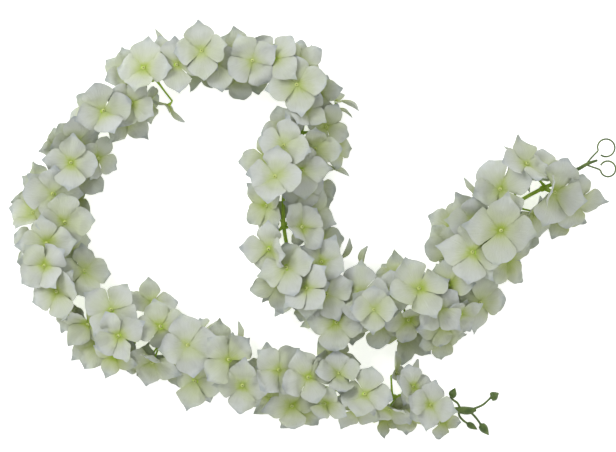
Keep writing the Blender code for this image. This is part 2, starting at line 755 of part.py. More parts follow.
def lay_out():
    """Groups the florets into sprigs along the stem and finds a clear pose for each."""
    florets = [Floret(n, row) for n, row in enumerate(FLORETS)]
    florets.sort(key=lambda f: f.s)
    groups = [florets[k:k + SPRIG_FLORETS] for k in range(0, len(florets), SPRIG_FLORETS)]
    stations = []
    for group in groups:
        s = sum(f.s for f in group) / len(group)
        if stations:
            s = max(s, stations[-1] + 0.015)
        stations.append(max(s, 0.012))
    for k in range(len(stations) - 1, -1, -1):
        limit = ROUTE.length - 0.014 if k == len(stations) - 1 else stations[k + 1] - 0.015
        stations[k] = min(stations[k], limit)
    space = Space()
    for x, y, half, low in OPEN_PLACES:
        wide = half * GRID
        space.add(*rod(grid_point(x, y, low / 1000.0), grid_point(x, y, 0.12), wide, wide))
    stops = [ROUTE.length * k / 160.0 for k in range(161)]
    for a, b in zip(stops, stops[1:]):
        space.add(*rod(ROUTE.point(a), ROUTE.point(b), STEM_RADIUS * 1.1, STEM_RADIUS * 1.1))
    for points, radii in bud_tubes() + tendril_tubes():
        for a, b, ra, rb in zip(points, points[1:], radii, radii[1:]):
            space.add(*rod(a, b, ra + CLEARANCE, rb + CLEARANCE))
    sleeves = [Sleeve(n, s) for n, s in enumerate(stations)]
    home = {}
    for sleeve, group in zip(sleeves, groups):
        space.add(*sleeve_box(sleeve.s))
        for f in group:
            home[f.number] = sleeve.number
            if f.layer == "e" and (f.centre - ROUTE.point(sleeve.s)).dot(f.normal) < 0.0:
                f.normal.negate()
                f.set_axes()
    order = {"e": 0, "t": 1, "s": 2, "u": 3, "l": 4}
    held = [[] for _ in sleeves]
    missed = []
    for f in sorted(florets, key=lambda f: (order[f.layer], f.number)):
        here = home[f.number]
        near = sorted(range(len(sleeves)), key=lambda n: abs(sleeves[n].s - f.s))
        choices = [here] + [n for n in near if n != here][:2]
        for n in choices:
            if len(sleeves[n].free) > 3 and settle(f, sleeves[n], space, 380):
                break
        else:
            missed.append(f)
            continue
        held[n].append(f)
        for i in range(4):
            points, faces = petal_sheet(f, i, f.bends[i])
            space.add(*thick_sheet(points, faces, PETAL_SHEET / 2.0))
        space.add(*stalk_shape(f, 0.0, 0.0))
        space.add(*calyx_shape(f, 0.0))
        space.add(*button_shape(f, 0.0))
    return held, stations, missed


def colour_material(name, colour, roughness):
    mat = bpy.data.materials.new(name)
    mat.use_nodes = True
    shader = mat.node_tree.nodes["Principled BSDF"]
    shader.inputs["Base Color"].default_value = (*colour, 1.0)
    shader.inputs["Roughness"].default_value = roughness
    shader.inputs["Metallic"].default_value = 0.0
    return mat


def new_object(name, mesh, colour, roughness):
    mesh.materials.append(colour_material(name, colour, roughness))
    obj = bpy.data.objects.new(name, mesh)
    bpy.context.scene.collection.objects.link(obj)
    return obj


def add_sleeve(bm, s):
    """A square sleeve in two halves round the stem; returns its outer faces by root number."""
    centre, axis, side, top = sleeve_frame(s)
    rings = []
    for step in (-0.5, 0.0, 0.5):
        mid = centre + axis * (SLEEVE_LENGTH * step)
        rings.append([bm.verts.new(mid + (side * a + top * b) * SLEEVE_HALF) for a, b in SQUARE])
    holes = []
    for step in (-0.5, 0.5):
        mid = centre + axis * (SLEEVE_LENGTH * step)
        holes.append([bm.verts.new(mid + (side * a + top * b) * SLEEVE_BORE) for a, b in SQUARE])
    faces = {}
    for half in range(2):
        for k in range(4):
            n = (k + 1) % 4
            low = rings[half]
            high = rings[half + 1]
            faces[half * 4 + k] = bm.faces.new((low[k], low[n], high[n], high[k]))
    for k in range(4):
        n = (k + 1) % 4
        bm.faces.new((holes[0][k], holes[1][k], holes[1][n], holes[0][n]))
        bm.faces.new((rings[0][k], holes[0][k], holes[0][n], rings[0][n]))
        bm.faces.new((rings[2][k], rings[2][n], holes[1][n], holes[1][k]))
    return faces


def add_floret(bm, floret, root_face):
    """The four-petalled sheet, its centre button, and the pedicel down to the sleeve."""
    notches = [bm.verts.new(floret.notch_point(i)) for i in range(4)]
    sheet = [bm.faces.new(notches)]
    for i in range(4):
        points, tris = petal_sheet(floret, i, floret.bends[i])
        ends = len(points) - (2 if floret.fine else 1)
        verts = []
        for k, p in enumerate(points):
            if k == 0:
                verts.append(notches[i])
            elif k == ends:
                verts.append(notches[(i + 1) % 4])
            else:
                verts.append(bm.verts.new(p))
        sheet += [bm.faces.new([verts[k] for k in tri]) for tri in tris]
    bm.normal_update()
    for face in sheet:
        if face.normal.dot(floret.normal) < 0.0 and face is sheet[0]:
            bmesh.ops.reverse_faces(bm, faces=[face])
    bm.normal_update()
    old = list({v for f in sheet for v in f.verts})
    push = {}
    for v in old:
        n = Vector((0.0, 0.0, 0.0))
        for f in v.link_faces:
            n += f.normal * f.calc_area()
        push[v.co.copy().freeze()] = n.normalized()
    made = bmesh.ops.extrude_face_region(bm, geom=sheet)
    new = [v for v in made["geom"] if isinstance(v, bmesh.types.BMVert)]
    back = [f for f in made["geom"] if isinstance(f, bmesh.types.BMFace)]
    for v in old:
        v.co += push[v.co.copy().freeze()] * (PETAL_SHEET / 2.0)
    for v in new:
        v.co -= push[v.co.copy().freeze()] * (PETAL_SHEET / 2.0)
    front_centre = sheet[0]
    back_centre = [f for f in back if len(f.verts) == 4][0]
    button = bmesh.ops.extrude_discrete_faces(bm, faces=[front_centre])["faces"][0]
    middle = button.calc_center_median()
    for v in button.verts:
        v.co = middle + (v.co - middle) * 0.55 + floret.normal * BUTTON_HEIGHT
    end = bmesh.ops.extrude_discrete_faces(bm, faces=[back_centre])["faces"][0]
    top, pick = stalk_top(floret, PEDICEL_RADIUS)
    by_notch = [min(end.verts, key=lambda v: (v.co - floret.notch_point(i)).length) for i in range(4)]
    for v, place in zip(by_notch, top):
        v.co = place
    low = list(root_face.verts)
    high = [by_notch[k] for k in pick]
    bmesh.ops.delete(bm, geom=[end, root_face], context="FACES_ONLY")
    for k in range(4):
        n = (k + 1) % 4
        bm.faces.new((low[k], high[k], high[n]))
        bm.faces.new((low[k], high[n], low[n]))


def build_sprig(number, group, s):
    bm = bmesh.new()
    faces = add_sleeve(bm, s)
    for floret in group:
        add_floret(bm, floret, faces[floret.root_face])
    bmesh.ops.triangulate(bm, faces=[f for f in bm.faces if len(f.verts) > 3])
    bmesh.ops.recalc_face_normals(bm, faces=list(bm.faces))
    mesh = bpy.data.meshes.new(f"sprig_{number:02d}")
    bm.to_mesh(mesh)
    bm.free()
    return new_object(f"sprig_{number:02d}", mesh, (0.80, 0.84, 0.72), 0.7)


def build_stem(stations):
    """The stem as a bevelled curve that runs straight through every sleeve."""
    stops = [0.0, END_RUN]
    for s in stations:
        before = stops[-1]
        low = s - STRAIGHT_HALF
        parts = max(1, math.ceil((low - before) / 0.030))
        stops += [before + (low - before) * k / parts for k in range(1, parts)]
        stops += [low, s + STRAIGHT_HALF]
    stops += [ROUTE.length - END_RUN, ROUTE.length]
    curve = bpy.data.curves.new("main_stem", "CURVE")
    curve.dimensions = "3D"
    curve.twist_mode = "Z_UP"
    curve.bevel_depth = STEM_RADIUS
    curve.bevel_resolution = 1
    curve.use_fill_caps = True
    line = curve.splines.new("POLY")
    line.points.add(len(stops) - 1)
    for point, s in zip(line.points, stops):
        point.co = (*ROUTE.point(s), 1.0)
    obj = bpy.data.objects.new("main_stem", curve)
    bpy.context.scene.collection.objects.link(obj)
    curve.materials.append(colour_material("main_stem", (0.13, 0.22, 0.05), 0.5))
    return obj


def tube_object(name, points, radii, sides):
    """A closed tube through the points, with its own radius at each."""
    bm = bmesh.new()
    bmesh.ops.create_circle(bm, cap_ends=True, segments=sides, radius=1.0)
    bm.faces.ensure_lookup_table()
    face = bm.faces[0]
    corners = list(face.verts)
    arms = [v.co.copy() for v in corners]
    side = (points[1] - points[0]).cross(Vector((0.0, 0.0, 1.0))).normalized()
    last = len(points) - 1
    for k, (point, radius) in enumerate(zip(points, radii)):
        before = (point - points[k - 1]).normalized() if k else (points[1] - point).normalized()
        after = (points[k + 1] - point).normalized() if k < last else before
        axis = (before + after).normalized()
        side = (side - axis * side.dot(axis)).normalized()
        over = axis.cross(side)
        if k:
            here = [v.co.copy() for v in corners]
            face = bmesh.ops.extrude_discrete_faces(bm, faces=[face])["faces"][0]
            corners = [min(face.verts, key=lambda v: (v.co - c).length) for c in here]
        for v, arm in zip(corners, arms):
            v.co = point + (side * arm.x + over * arm.y) * radius
    bmesh.ops.holes_fill(bm, edges=[e for e in bm.edges if e.is_boundary], sides=sides)
    bmesh.ops.recalc_face_normals(bm, faces=list(bm.faces))
    mesh = bpy.data.meshes.new(name)
    bm.to_mesh(mesh)
    bm.free()
    obj = bpy.data.objects.new(name, mesh)
    bpy.context.scene.collection.objects.link(obj)
    return obj


def build_spray(name, tubes, sides):
    """The first tube with the others fused into it."""
    base = tube_object(name, *tubes[0], 6)
    group = bpy.data.collections.new(name + "_branches")
    bpy.context.scene.collection.children.link(group)
    branches = []
    for k, (points, radii) in enumerate(tubes[1:]):
        branch = tube_object(f"{name}_branch_{k}", points, radii, sides[k])
        bpy.context.scene.collection.objects.unlink(branch)
        group.objects.link(branch)
        branches.append(branch)
    joined = base.modifiers.new("fuse", "BOOLEAN")
    joined.operation = "UNION"
    joined.operand_type = "COLLECTION"
    joined.collection = group
    joined.solver = "EXACT"
    view = bpy.context.evaluated_depsgraph_get()
    mesh = bpy.data.meshes.new_from_object(base.evaluated_get(view))
    base.modifiers.clear()
    base.data = mesh
    for branch in branches:
        bpy.data.objects.remove(branch, do_unlink=True)
    bpy.data.collections.remove(group)
    mesh.materials.clear()
    mesh.materials.append(colour_material(name, (0.11, 0.20, 0.05), 0.5))
    return base


for old in list(bpy.data.objects):
    bpy.data.objects.remove(old, do_unlink=True)

groups, stations, missed = lay_out()
build_stem(stations)
for number, (group, s) in enumerate(zip(groups, stations), 1):
    build_sprig(number, group, s)
build_spray("bud_spray", bud_tubes(), (6, 6, 6, 6))
build_spray("tendril_spray", tendril_tubes(), (4, 4, 4))
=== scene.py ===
"""The finished look of an artificial hydrangea garland laid in an open loop on a pale floor.

Silk florets of four petals stand on moulded green pedicels along a green stem, with a spray of
buds at one end and curly tendrils at the other. Lengths are in metres, and +Z is up.
"""

import bisect
import math
import random

import bmesh
import bpy
from mathutils import Matrix, Vector, noise
from mathutils.bvhtree import BVHTree


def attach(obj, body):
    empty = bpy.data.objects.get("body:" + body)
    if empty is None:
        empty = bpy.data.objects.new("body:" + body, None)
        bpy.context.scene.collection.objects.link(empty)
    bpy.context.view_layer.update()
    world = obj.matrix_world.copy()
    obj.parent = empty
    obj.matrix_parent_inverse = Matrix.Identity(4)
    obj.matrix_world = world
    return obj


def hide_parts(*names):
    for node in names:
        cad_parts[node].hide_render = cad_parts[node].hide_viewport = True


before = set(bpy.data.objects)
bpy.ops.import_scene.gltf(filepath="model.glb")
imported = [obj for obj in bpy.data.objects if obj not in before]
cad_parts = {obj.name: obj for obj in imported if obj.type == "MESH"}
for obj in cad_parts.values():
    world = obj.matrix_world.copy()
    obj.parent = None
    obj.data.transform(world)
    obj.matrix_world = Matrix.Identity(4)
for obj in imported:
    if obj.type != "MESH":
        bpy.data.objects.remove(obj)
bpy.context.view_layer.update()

# driving dimensions
GRID = 0.0011
SHEET_X = 308.0
SHEET_Y = 226.0
SHIFT_X = 0.0057
SHIFT_Y = -0.0087
STEM_RADIUS = 0.0022
SLEEVE_LENGTH = 0.008
SLEEVE_BORE = 0.00258
SLEEVE_HALF = 0.0036
STRAIGHT_HALF = 0.0055
PETAL_SHEET = 0.0008
PEDICEL_RADIUS = 0.0011
NECK_DEPTH = 0.0065
BUTTON_HEIGHT = 0.0016
CLEARANCE = 0.0006
NOTCH = 0.12
SPRIG_FLORETS = 4
SIDEWAYS_SIZE = 0.72
TALLEST = 0.086
LOWEST = -0.0009
END_GAP = 0.0003
END_RUN = 0.005
LOOP_STEPS = 13
SEED = 1

# how far over the stem a floret of each layer stands, and how far it leans, in degrees
RISE = {"s": 0.006, "u": -0.009, "l": -0.014, "e": -0.004}
LEAN = {"s": (8.0, 42.0), "u": (6.0, 32.0), "l": (130.0, 165.0), "e": 76.0}
TOP_DOME = 0.030
TOP_LEAST = 0.012
TOP_LEAN = 14.0
TOP_SLOPE = 20.0
TOP_EDGE = 0.033
SIDE_EDGE = 0.015
DROOP = 0.3

# the stem's route over the layout grid (x to the right, y down), with its height in millimetres
STEM_ROUTE = (
    (457, 412, 19), (444, 409, 22), (425, 404, 26), (390, 398, 30), (350, 393, 30), (310, 387, 30),
    (270, 379, 30), (230, 367, 30), (195, 354, 30), (160, 338, 30), (125, 321, 30), (93, 302, 30),
    (67, 276, 30), (52, 246, 30), (48, 215, 30), (56, 185, 30), (73, 150, 30), (94, 124, 30),
    (124, 95, 30), (152, 77, 30), (185, 64, 30), (220, 60, 30), (255, 62, 30), (282, 68, 30),
    (299, 85, 30), (304, 112, 30), (298, 145, 30), (286, 178, 30), (283, 215, 30), (288, 250, 30),
    (302, 278, 30), (328, 297, 30), (362, 307, 30), (400, 306, 30), (435, 293, 30), (462, 268, 30),
    (487, 237, 30), (515, 206, 30), (543, 189, 28), (560, 182, 23), (569, 177, 20),
)

# the florets over the same grid: layer, x, y and the turn of one petal in degrees
FLORETS = (
    ("t", 430, 404, 75), ("e", 422, 388, 103), ("u", 447, 414, 272), ("t", 407, 392, 95),
    ("u", 408, 417, 270), ("s", 389, 410, 315), ("u", 383, 417, 256), ("t", 364, 388, 70),
    ("s", 356, 410, 240), ("t", 340, 383, 75), ("s", 333, 402, 262), ("t", 308, 376, 110),
    ("s", 291, 406, 278), ("u", 298, 404, 322), ("t", 279, 369, 135), ("u", 276, 397, 238),
    ("t", 243, 384, 265), ("t", 231, 360, 45), ("s", 266, 368, 88), ("s", 297, 372, 92),
    ("e", 238, 348, 100), ("s", 219, 350, 95), ("u", 222, 381, 262), ("t", 195, 381, 78),
    ("t", 189, 346, 105), ("s", 197, 345, 85), ("t", 162, 326, 100), ("s", 151, 303, 100),
    ("t", 113, 309, 60), ("t", 128, 335, 45), ("s", 152, 363, 250), ("u", 122, 357, 250),
    ("u", 168, 361, 262), ("s", 94, 344, 243), ("s", 93, 326, 205), ("s", 83, 271, 3),
    ("t", 58, 291, 22), ("s", 66, 310, 243), ("t", 48, 266, 35), ("t", 48, 243, 5),
    ("s", 66, 250, 355), ("t", 66, 222, 5), ("s", 35, 238, 180), ("s", 30, 213, 165),
    ("l", 35, 200, 178), ("s", 40, 190, 147), ("t", 53, 196, 88), ("t", 73, 163, 175),
    ("s", 77, 176, 322), ("l", 64, 200, 305), ("t", 82, 139, 100), ("s", 66, 150, 190),
    ("s", 92, 152, 330), ("t", 105, 113, 108), ("s", 82, 120, 138), ("t", 131, 101, 330),
    ("s", 126, 116, 318), ("t", 145, 69, 85), ("s", 130, 73, 112), ("s", 160, 66, 100),
    ("t", 178, 66, 95), ("s", 202, 62, 262), ("e", 167, 104, -43), ("e", 171, 44, 119),
    ("t", 199, 54, 95), ("t", 217, 63, 100), ("s", 242, 57, 92), ("t", 253, 62, 30),
    ("s", 243, 68, 265), ("l", 258, 64, 272), ("t", 272, 60, 50), ("s", 276, 56, 75),
    ("s", 292, 66, 60), ("e", 311, 67, 88), ("t", 297, 86, 10), ("t", 304, 111, 45),
    ("s", 294, 98, 190), ("s", 293, 118, 185), ("s", 316, 90, 15), ("e", 337, 99, -17),
    ("e", 331, 108, -24), ("s", 323, 124, -12), ("t", 284, 146, 165), ("t", 303, 169, 5),
    ("s", 311, 152, 350), ("e", 328, 166, -34), ("t", 277, 175, 172), ("t", 304, 194, 8),
    ("s", 308, 188, 0), ("s", 268, 206, 212), ("s", 308, 212, 340), ("t", 300, 228, 45),
    ("s", 312, 240, 0), ("t", 269, 249, 178), ("t", 287, 266, 195), ("t", 322, 262, 60),
    ("e", 340, 261, 65), ("s", 279, 283, 188), ("t", 308, 285, 230), ("t", 327, 294, 20),
    ("t", 357, 292, 93), ("e", 363, 270, 74), ("t", 371, 307, 350), ("s", 289, 292, 252),
    ("s", 306, 304, 268), ("t", 336, 320, 268), ("l", 325, 314, 255), ("l", 354, 318, 275),
    ("s", 380, 324, 265), ("t", 389, 295, 98), ("t", 413, 290, 110), ("s", 405, 318, 270),
    ("t", 438, 306, 310), ("s", 441, 325, 280), ("s", 443, 286, 80), ("s", 456, 308, 322),
    ("s", 480, 302, 355), ("s", 455, 249, 175), ("s", 458, 228, 165), ("t", 471, 252, 260),
    ("t", 498, 231, 85), ("t", 474, 220, 96), ("e", 484, 200, 110), ("l", 492, 252, 285),
    ("l", 508, 244, 290), ("t", 503, 191, 115), ("e", 519, 173, 110), ("t", 523, 172, 25),
    ("s", 543, 174, 95), ("t", 553, 192, 80), ("s", 536, 210, 291), ("s", 574, 199, 352),
    ("e", 396, 375, 105), ("u", 153, 98, 290), ("u", 36, 246, 185), ("s", 269, 157, 180),
    ("u", 328, 150, 350), ("s", 198, 42, 90), ("u", 270, 216, 200), ("u", 122, 366, 250),
    ("u", 403, 282, 95), ("u", 412, 330, 265), ("u", 438, 333, 270), ("u", 466, 318, 290),
    ("u", 508, 262, 300), ("u", 334, 368, 80), ("u", 142, 368, 255), ("u", 82, 338, 225),
    ("u", 580, 206, 320),
)

# the bud spray: the hub, then each stalk with the bud on it: x, y, height and radius in millimetres
BUD_HUB = ((465, 413.5, 17, 3.7), (472, 414, 15.5, 3.7), (479, 413, 14, 2.0))
BUD_STALKS = (
    ((470, 414, 16.5), (480, 411, 14.5), (487, 408, 12.5), (494, 402, 11.0), (503, 396.5, 10.0)),
    ((472, 414, 16.0), (477, 419, 14.0), (480.5, 423, 11.5), (484, 428, 9.0), (493, 440, 7.5)),
    ((461, 412, 18.5), (462, 419, 16.5), (466, 424, 14.0), (470, 427, 12.0), (481, 434, 10.0)),
    ((463, 412, 17.5), (460, 406, 19.5), (456, 403, 21.5), (453, 400, 23.5), (457, 390, 25.0)),
)
BUD_RADIUS = (4.4, 4.0, 3.2, 3.8)

# the tendril spray: its stalk, the thin tendril and the two that end in a loop, in the same units
TENDRIL_STALK = (
    (576, 171.0, 18.0, 2.2), (584, 167.5, 16.5, 2.1), (593, 162.5, 14.5, 1.9), (603, 159, 13.0, 1.3),
)
THIN_TENDRIL = (
    (579, 169.5, 17.2), (573, 166, 18.5), (568, 166.5, 19.5), (561, 169, 20.5), (554, 169, 21.0),
    (547, 167, 21.5),
)
LOOPS = (
    ((591, 163.5, 14.5), (597, 156.5, 12.5), (601.5, 152.0, 10.5), (613, 146, 8.0), 9.0, 199, -325),
    ((591, 163.5, 14.5), (599, 166.0, 12.0), (604.0, 167.5, 10.0), (615, 167.5, 7.0), 8.0, 192, 320),
)
STALK_RADIUS = 1.3
TENDRIL_RADIUS = 0.95

# places kept open from above: x, y, half-width and the height they start from in millimetres
OPEN_PLACES = (
    (77, 302, 2.4, 0), (157, 95, 2.0, 0), (176, 361, 2.0, 0), (28, 227, 1.6, 0),
    (284, 105, 2.0, 0), (391, 401, 1.8, 0), (354, 379, 2.0, 0), (139, 341, 5.0, 38),
    (160, 352, 3.0, 38), (100, 136, 3.0, 38), (151, 99, 3.0, 38), (307, 130, 2.0, 38),
    (397, 393, 3.0, 38), (282, 200, 2.2, 34), (283, 208, 2.2, 34), (283, 216, 2.2, 34),
    (284, 224, 2.2, 34), (285, 232, 2.2, 34), (286, 240, 2.2, 34), (524, 202, 2.0, 34),
    (532, 197, 2.0, 34), (540, 193, 1.6, 32), (409, 305, 2.6, 38),
)

# outlines of the plain petals as reach and offset, and the corners of a square
FINE_PETAL = ((0.40, 0.37), (0.74, 0.47), (1.0, 0.0), (0.74, -0.47), (0.40, -0.37))
PLAIN_PETAL = ((0.60, 0.49), (1.0, 0.0), (0.60, -0.49))
SQUARE = ((1, -1), (1, 1), (-1, 1), (-1, -1))

# how far a plain petal may bend, in degrees and radians, and how the search weighs its poses
BEND_STEPS = (0, 10, -10, 20, -20, 30, -30, 42, -42, 54, -54)
MOST_BEND = math.radians(58.0)
MOST_STEP = math.radians(62.0)
SEARCH_TRIES = 380
SEARCH_REACH = 0.085
SEARCH_MOVE = (0.009, 0.009, 0.014)
DRIFT_COST = 7000.0
SMALL_COST = 200.0
SLEEVE_ROOM = 0.015
FIRST_SLEEVE = 0.012
LAST_SLEEVE = 0.014
STEM_RODS = 160
LEAST_STALK = 0.006
FIT_GAP = 0.0002

# the finished petals: grid steps, outline and cloth
PETAL_ACROSS = 6
PETAL_ALONG = 8
PETAL_ROOT = 0.03
PETAL_WIDTH = 0.53
PETAL_CLOTH = 0.0005
PETAL_LAP = 0.0002
PROFILE_STEPS = 40
CRUMPLE = 0.14
RAGGED = 0.05
EDGE_FOLD = math.radians(34.0)
EDGE_REACH = 1.22
BACK_LAP = 0.0012
BACK_WIDTH = 0.40
SIDE_WIDTH = 0.44
BACK_TRIES = 10
BACK_REACH = 1.1
BACK_SIZE = 1.15
BACK_SEED = 77000
FRONT_TRIES = 8
FRONT_REACH = 1.3
FRONT_SEED = 9000
CALMER = 0.12
STEM_PIECE = 0.012
STEM_ROOM = 0.0034
OPEN_ROOM = 1.5
OPEN_TOP = 0.12
LAY_LEVEL = 0.004
LAY_LOW = 0.0007

# the moulded sleeves, pedicels, calyxes and pin heads
SLEEVE_PROFILE = (
    (-0.5, 0.0024), (-0.42, 0.0032), (-0.2, 0.0035), (0.2, 0.0035), (0.42, 0.0032), (0.5, 0.0024),
)
CALYX_PROFILE = ((0.0, 0.0011), (0.35, 0.0017), (0.75, 0.0029), (0.95, 0.0036))
PEDICEL_RADII = (0.0021, 0.0014, 0.0011, 0.0011)
ROOT_DEPTH = 0.0012
FULL_PETAL = 0.031
HEAD_RADIUS = 0.0021
HEAD_FLATNESS = 0.55
# painted shade: the dark dot on each pin head stands for the shade in the peg hole
DOT_RADIUS = 0.0007
LEAST_RADIUS = 0.0002
SWELL_FROM = 0.0018
FULLER = 0.35

# painted shade for each layer of florets: how far its silk is drawn from the lit colours towards the
# darker, greener shaded ones, from the top layer to the lowest
LAYER_PAINTED_SHADE = {"t": 0.12, "s": 0.45, "u": 0.72, "l": 0.95, "e": 0.55}

# the silk's dyed colours along the petal, from the heart to the rim, and its tinted patches; the lit
# colours are for the top florets, and the shaded colours are painted shade, darker and greener, for
# petals lying lower
PATCHES = ((0.48, (0.0, 0.0, 0.0)), (0.72, (0.48, 0.48, 0.48)))
PATCH_TINT = (0.49, 0.55, 0.33)
SILK_LIT = (
    (0.05, (0.34, 0.44, 0.07)), (0.15, (0.43, 0.50, 0.20)), (0.30, (0.495, 0.54, 0.385)),
    (0.55, (0.53, 0.56, 0.50)), (0.90, (0.54, 0.57, 0.55)), (1.00, (0.43, 0.47, 0.47)),
)
SILK_SHADED = (
    (0.05, (0.26, 0.37, 0.02)), (0.20, (0.38, 0.46, 0.09)), (0.42, (0.46, 0.52, 0.24)),
    (0.68, (0.50, 0.545, 0.38)), (0.90, (0.50, 0.55, 0.47)), (1.00, (0.39, 0.43, 0.39)),
)
THREADS = 75.0

# the floor, the studio light and the camera
FLOOR_SIZE = 6.0
FLOOR_PAPER = ((0.3, (0.93 * 0.985,) * 3), (0.7, (0.93,) * 3))
SKY_STRENGTH = 0.83
FLOOR_GLOW = 0.58
LAMP_POWER = 19.0
LAMP_PLACE = (-1.1, 0.9, 1.5)
LAMP_SIZE = 0.9
CAMERA_LENS = 85.0
CAMERA_SENSOR = 36.0
CAMERA_LEVEL = 0.045
IMAGE_WIDTH = 616.0


def grid_point(x, y, height):
    """A point of the layout grid, in metres."""
    return Vector(((x - SHEET_X) * GRID - SHIFT_X, (SHEET_Y - y) * GRID - SHIFT_Y, height))


def smooth_route(points, steps):
    """A Catmull-Rom curve through the points."""
    out = []
    last = len(points) - 1
    for i in range(last):
        a = points[max(i - 1, 0)]
        b = points[i]
        c = points[i + 1]
        d = points[min(i + 2, last)]
        for k in range(steps):
            t = k / steps
            out.append(
                0.5 * (2.0 * b + (c - a) * t + (2.0 * a - 5.0 * b + 4.0 * c - d) * t * t
                       + (3.0 * b - a - 3.0 * c + d) * t * t * t)
            )
    out.append(points[last].copy())
    return out


class Route:
    """The stem's centre line, measured along its length."""

    def __init__(self, points):
        self.points = points
        self.at = [0.0]
        for a, b in zip(points, points[1:]):
            self.at.append(self.at[-1] + (b - a).length)
        self.length = self.at[-1]

    def point(self, s):
        """The place on the line at the length s."""
        s = min(max(s, 0.0), self.length)
        high = min(bisect.bisect_right(self.at, s), len(self.at) - 1)
        low = high - 1
        span = self.at[high] - self.at[low]
        return self.points[low].lerp(self.points[high], (s - self.at[low]) / span)

    def chord(self, s, half):
        """The middle and the direction of the straight run that spans s."""
        a = self.point(s - half)
        b = self.point(s + half)
        return (a + b) * 0.5, (b - a).normalized()

    def nearest(self, place):
        """How far along the route lies closest to a place, seen from above."""
        gaps = [(p.x - place.x) ** 2 + (p.y - place.y) ** 2 for p in self.points]
        return self.at[gaps.index(min(gaps))]


ROUTE = Route(smooth_route([grid_point(x, y, z / 1000.0) for x, y, z in STEM_ROUTE], 12))


def petal_length(x, y):
    """Petals are small at the bud end and large at the tendril end."""
    if y > 365 and x > 330:
        return GRID * (28.5 - 4.0 * min((x - 330) / 100.0, 1.0))
    if x > 380:
        return GRID * (31.0 + 5.0 * min((x - 380) / 160.0, 1.0))
    return GRID * 28.5


class Floret:
    """One floret: where its centre is, which way it faces and how each petal bends."""

    def __init__(self, number, row):
        self.number = number
        self.layer = row[0]
        self.turn = math.radians(row[3])
        self.draw = random.Random(SEED * 1000 + number)
        self.length = petal_length(row[1], row[2]) * self.draw.uniform(0.95, 1.06)
        if self.layer == "e":
            self.length *= SIDEWAYS_SIZE
        flat = grid_point(row[1], row[2], 0.0)
        self.s = ROUTE.nearest(flat)
        stem, along = ROUTE.chord(self.s, 0.010)
        across = Vector((-along.y, along.x, 0.0)).normalized()
        off = (flat - stem).dot(across)
        side = 1.0 if off >= 0.0 else -1.0
        reach = abs(off)
        out = across * side
        up = Vector((0.0, 0.0, 1.0))
        if self.layer == "t":
            rise = math.sqrt(max(TOP_DOME ** 2 - reach ** 2, TOP_LEAST ** 2))
            lean = math.radians(TOP_LEAN) + min(reach / TOP_EDGE, 1.0) * math.radians(TOP_SLOPE)
            lean *= self.draw.uniform(0.3, 1.1)
        elif self.layer == "e":
            rise = RISE["e"]
            lean = math.radians(LEAN["e"])
        else:
            rise = RISE[self.layer]
            lean = math.radians(self.draw.uniform(*LEAN[self.layer]))
        if self.layer == "s":
            rise -= DROOP * max(reach - SIDE_EDGE, 0.0)
        self.centre = flat.copy()
        self.centre.z = stem.z + rise
        if self.layer == "e":
            self.centre.z = max(self.centre.z, self.length * 1.05 + 0.002)
            tip = Vector((math.cos(self.turn), math.sin(self.turn), 0.0))
            face = Vector((-tip.y, tip.x, 0.0)) * self.draw.choice((-1.0, 1.0))
            self.normal = (face * math.sin(lean) + up * math.cos(lean)).normalized()
        else:
            skew = along * self.draw.uniform(-0.22, 0.22)
            self.normal = (out * math.sin(lean) + up * math.cos(lean) + skew).normalized()
        self.bends = [0.0] * 4
        self.curls = [math.radians(self.draw.uniform(-34.0, 20.0)) for _ in range(4)]
        self.folds = [math.radians(self.draw.uniform(-10.0, 15.0)) for _ in range(4)]
        self.sizes = [self.draw.uniform(0.94, 1.04) for _ in range(4)]
        self.rest = [math.radians(self.draw.uniform(-2.0, 18.0)) for _ in range(4)]
        self.fine = self.layer == "t"
        self.set_axes()

    def set_axes(self):
        """Two directions in the floret's plane, kept near the surface's X and Y."""
        face = 1.0 if self.normal.z > -0.4 else -1.0
        turn = Vector((0.0, 0.0, face)).rotation_difference(self.normal)
        self.ax = turn @ Vector((1.0, 0.0, 0.0))
        self.ay = turn @ Vector((0.0, face, 0.0))

    def pose(self):
        """Where the floret is and how it is turned, sized and bent."""
        return self.centre.copy(), self.normal.copy(), self.turn, self.length, list(self.bends)

    def take(self, pose):
        """Puts the floret back into a pose."""
        self.centre, self.normal, self.turn, self.length, self.bends = pose
        self.set_axes()

    def plug(self, sleeve, pick):
        """Roots the floret's pedicel in one of the sleeve's places."""
        self.root = sleeve.roots[pick]
        self.root_face = pick
        self.root_ring = sleeve.corners[pick]

    def petal_axes(self, i):
        a = self.turn + i * math.pi / 2.0
        along = self.ax * math.cos(a) + self.ay * math.sin(a)
        across = self.ay * math.cos(a) - self.ax * math.sin(a)
        return along, across

    def petal_point(self, i, u, w, bend):
        """A point of petal i: u runs from the centre to the tip, w is the offset across it."""
        along, across = self.petal_axes(i)
        size = self.length * self.sizes[i]
        start = min(max(self.rest[i] + bend, -MOST_BEND), MOST_BEND)
        curl = self.curls[i]
        run = max(u - NOTCH, 0.0)
        if abs(curl) < 1e-4:
            out = run * math.cos(start)
            rise = run * math.sin(start)
        else:
            out = (math.sin(start + curl * run) - math.sin(start)) / curl
            rise = (math.cos(start) - math.cos(start + curl * run)) / curl
        out += min(u, NOTCH)
        wide = min(abs(w), 0.88 * out)
        lift = wide * math.tan(self.folds[i])
        tilt = start + curl * run
        out -= lift * math.sin(tilt)
        rise += lift * math.cos(tilt)
        side = wide if w >= 0.0 else -wide
        return self.centre + size * (along * out + across * side) + self.normal * (size * rise)

    def notch_point(self, i):
        """The inner corner between petal i and the one before it."""
        along, across = self.petal_axes(i)
        return self.centre + self.length * NOTCH * (along - across)

    def neck(self):
        return self.centre - self.normal * NECK_DEPTH


def petal_outline(floret, i, bend, grow=0.0):
    """The petal's outer points, from one notch round the tip to the other."""
    rows = FINE_PETAL if floret.fine else PLAIN_PETAL
    more = grow / floret.length
    points = []
    for u, w in rows:
        side = 0.0 if w == 0.0 else math.copysign(more, w)
        points.append(floret.petal_point(i, u + more, w + side, bend))
    return points


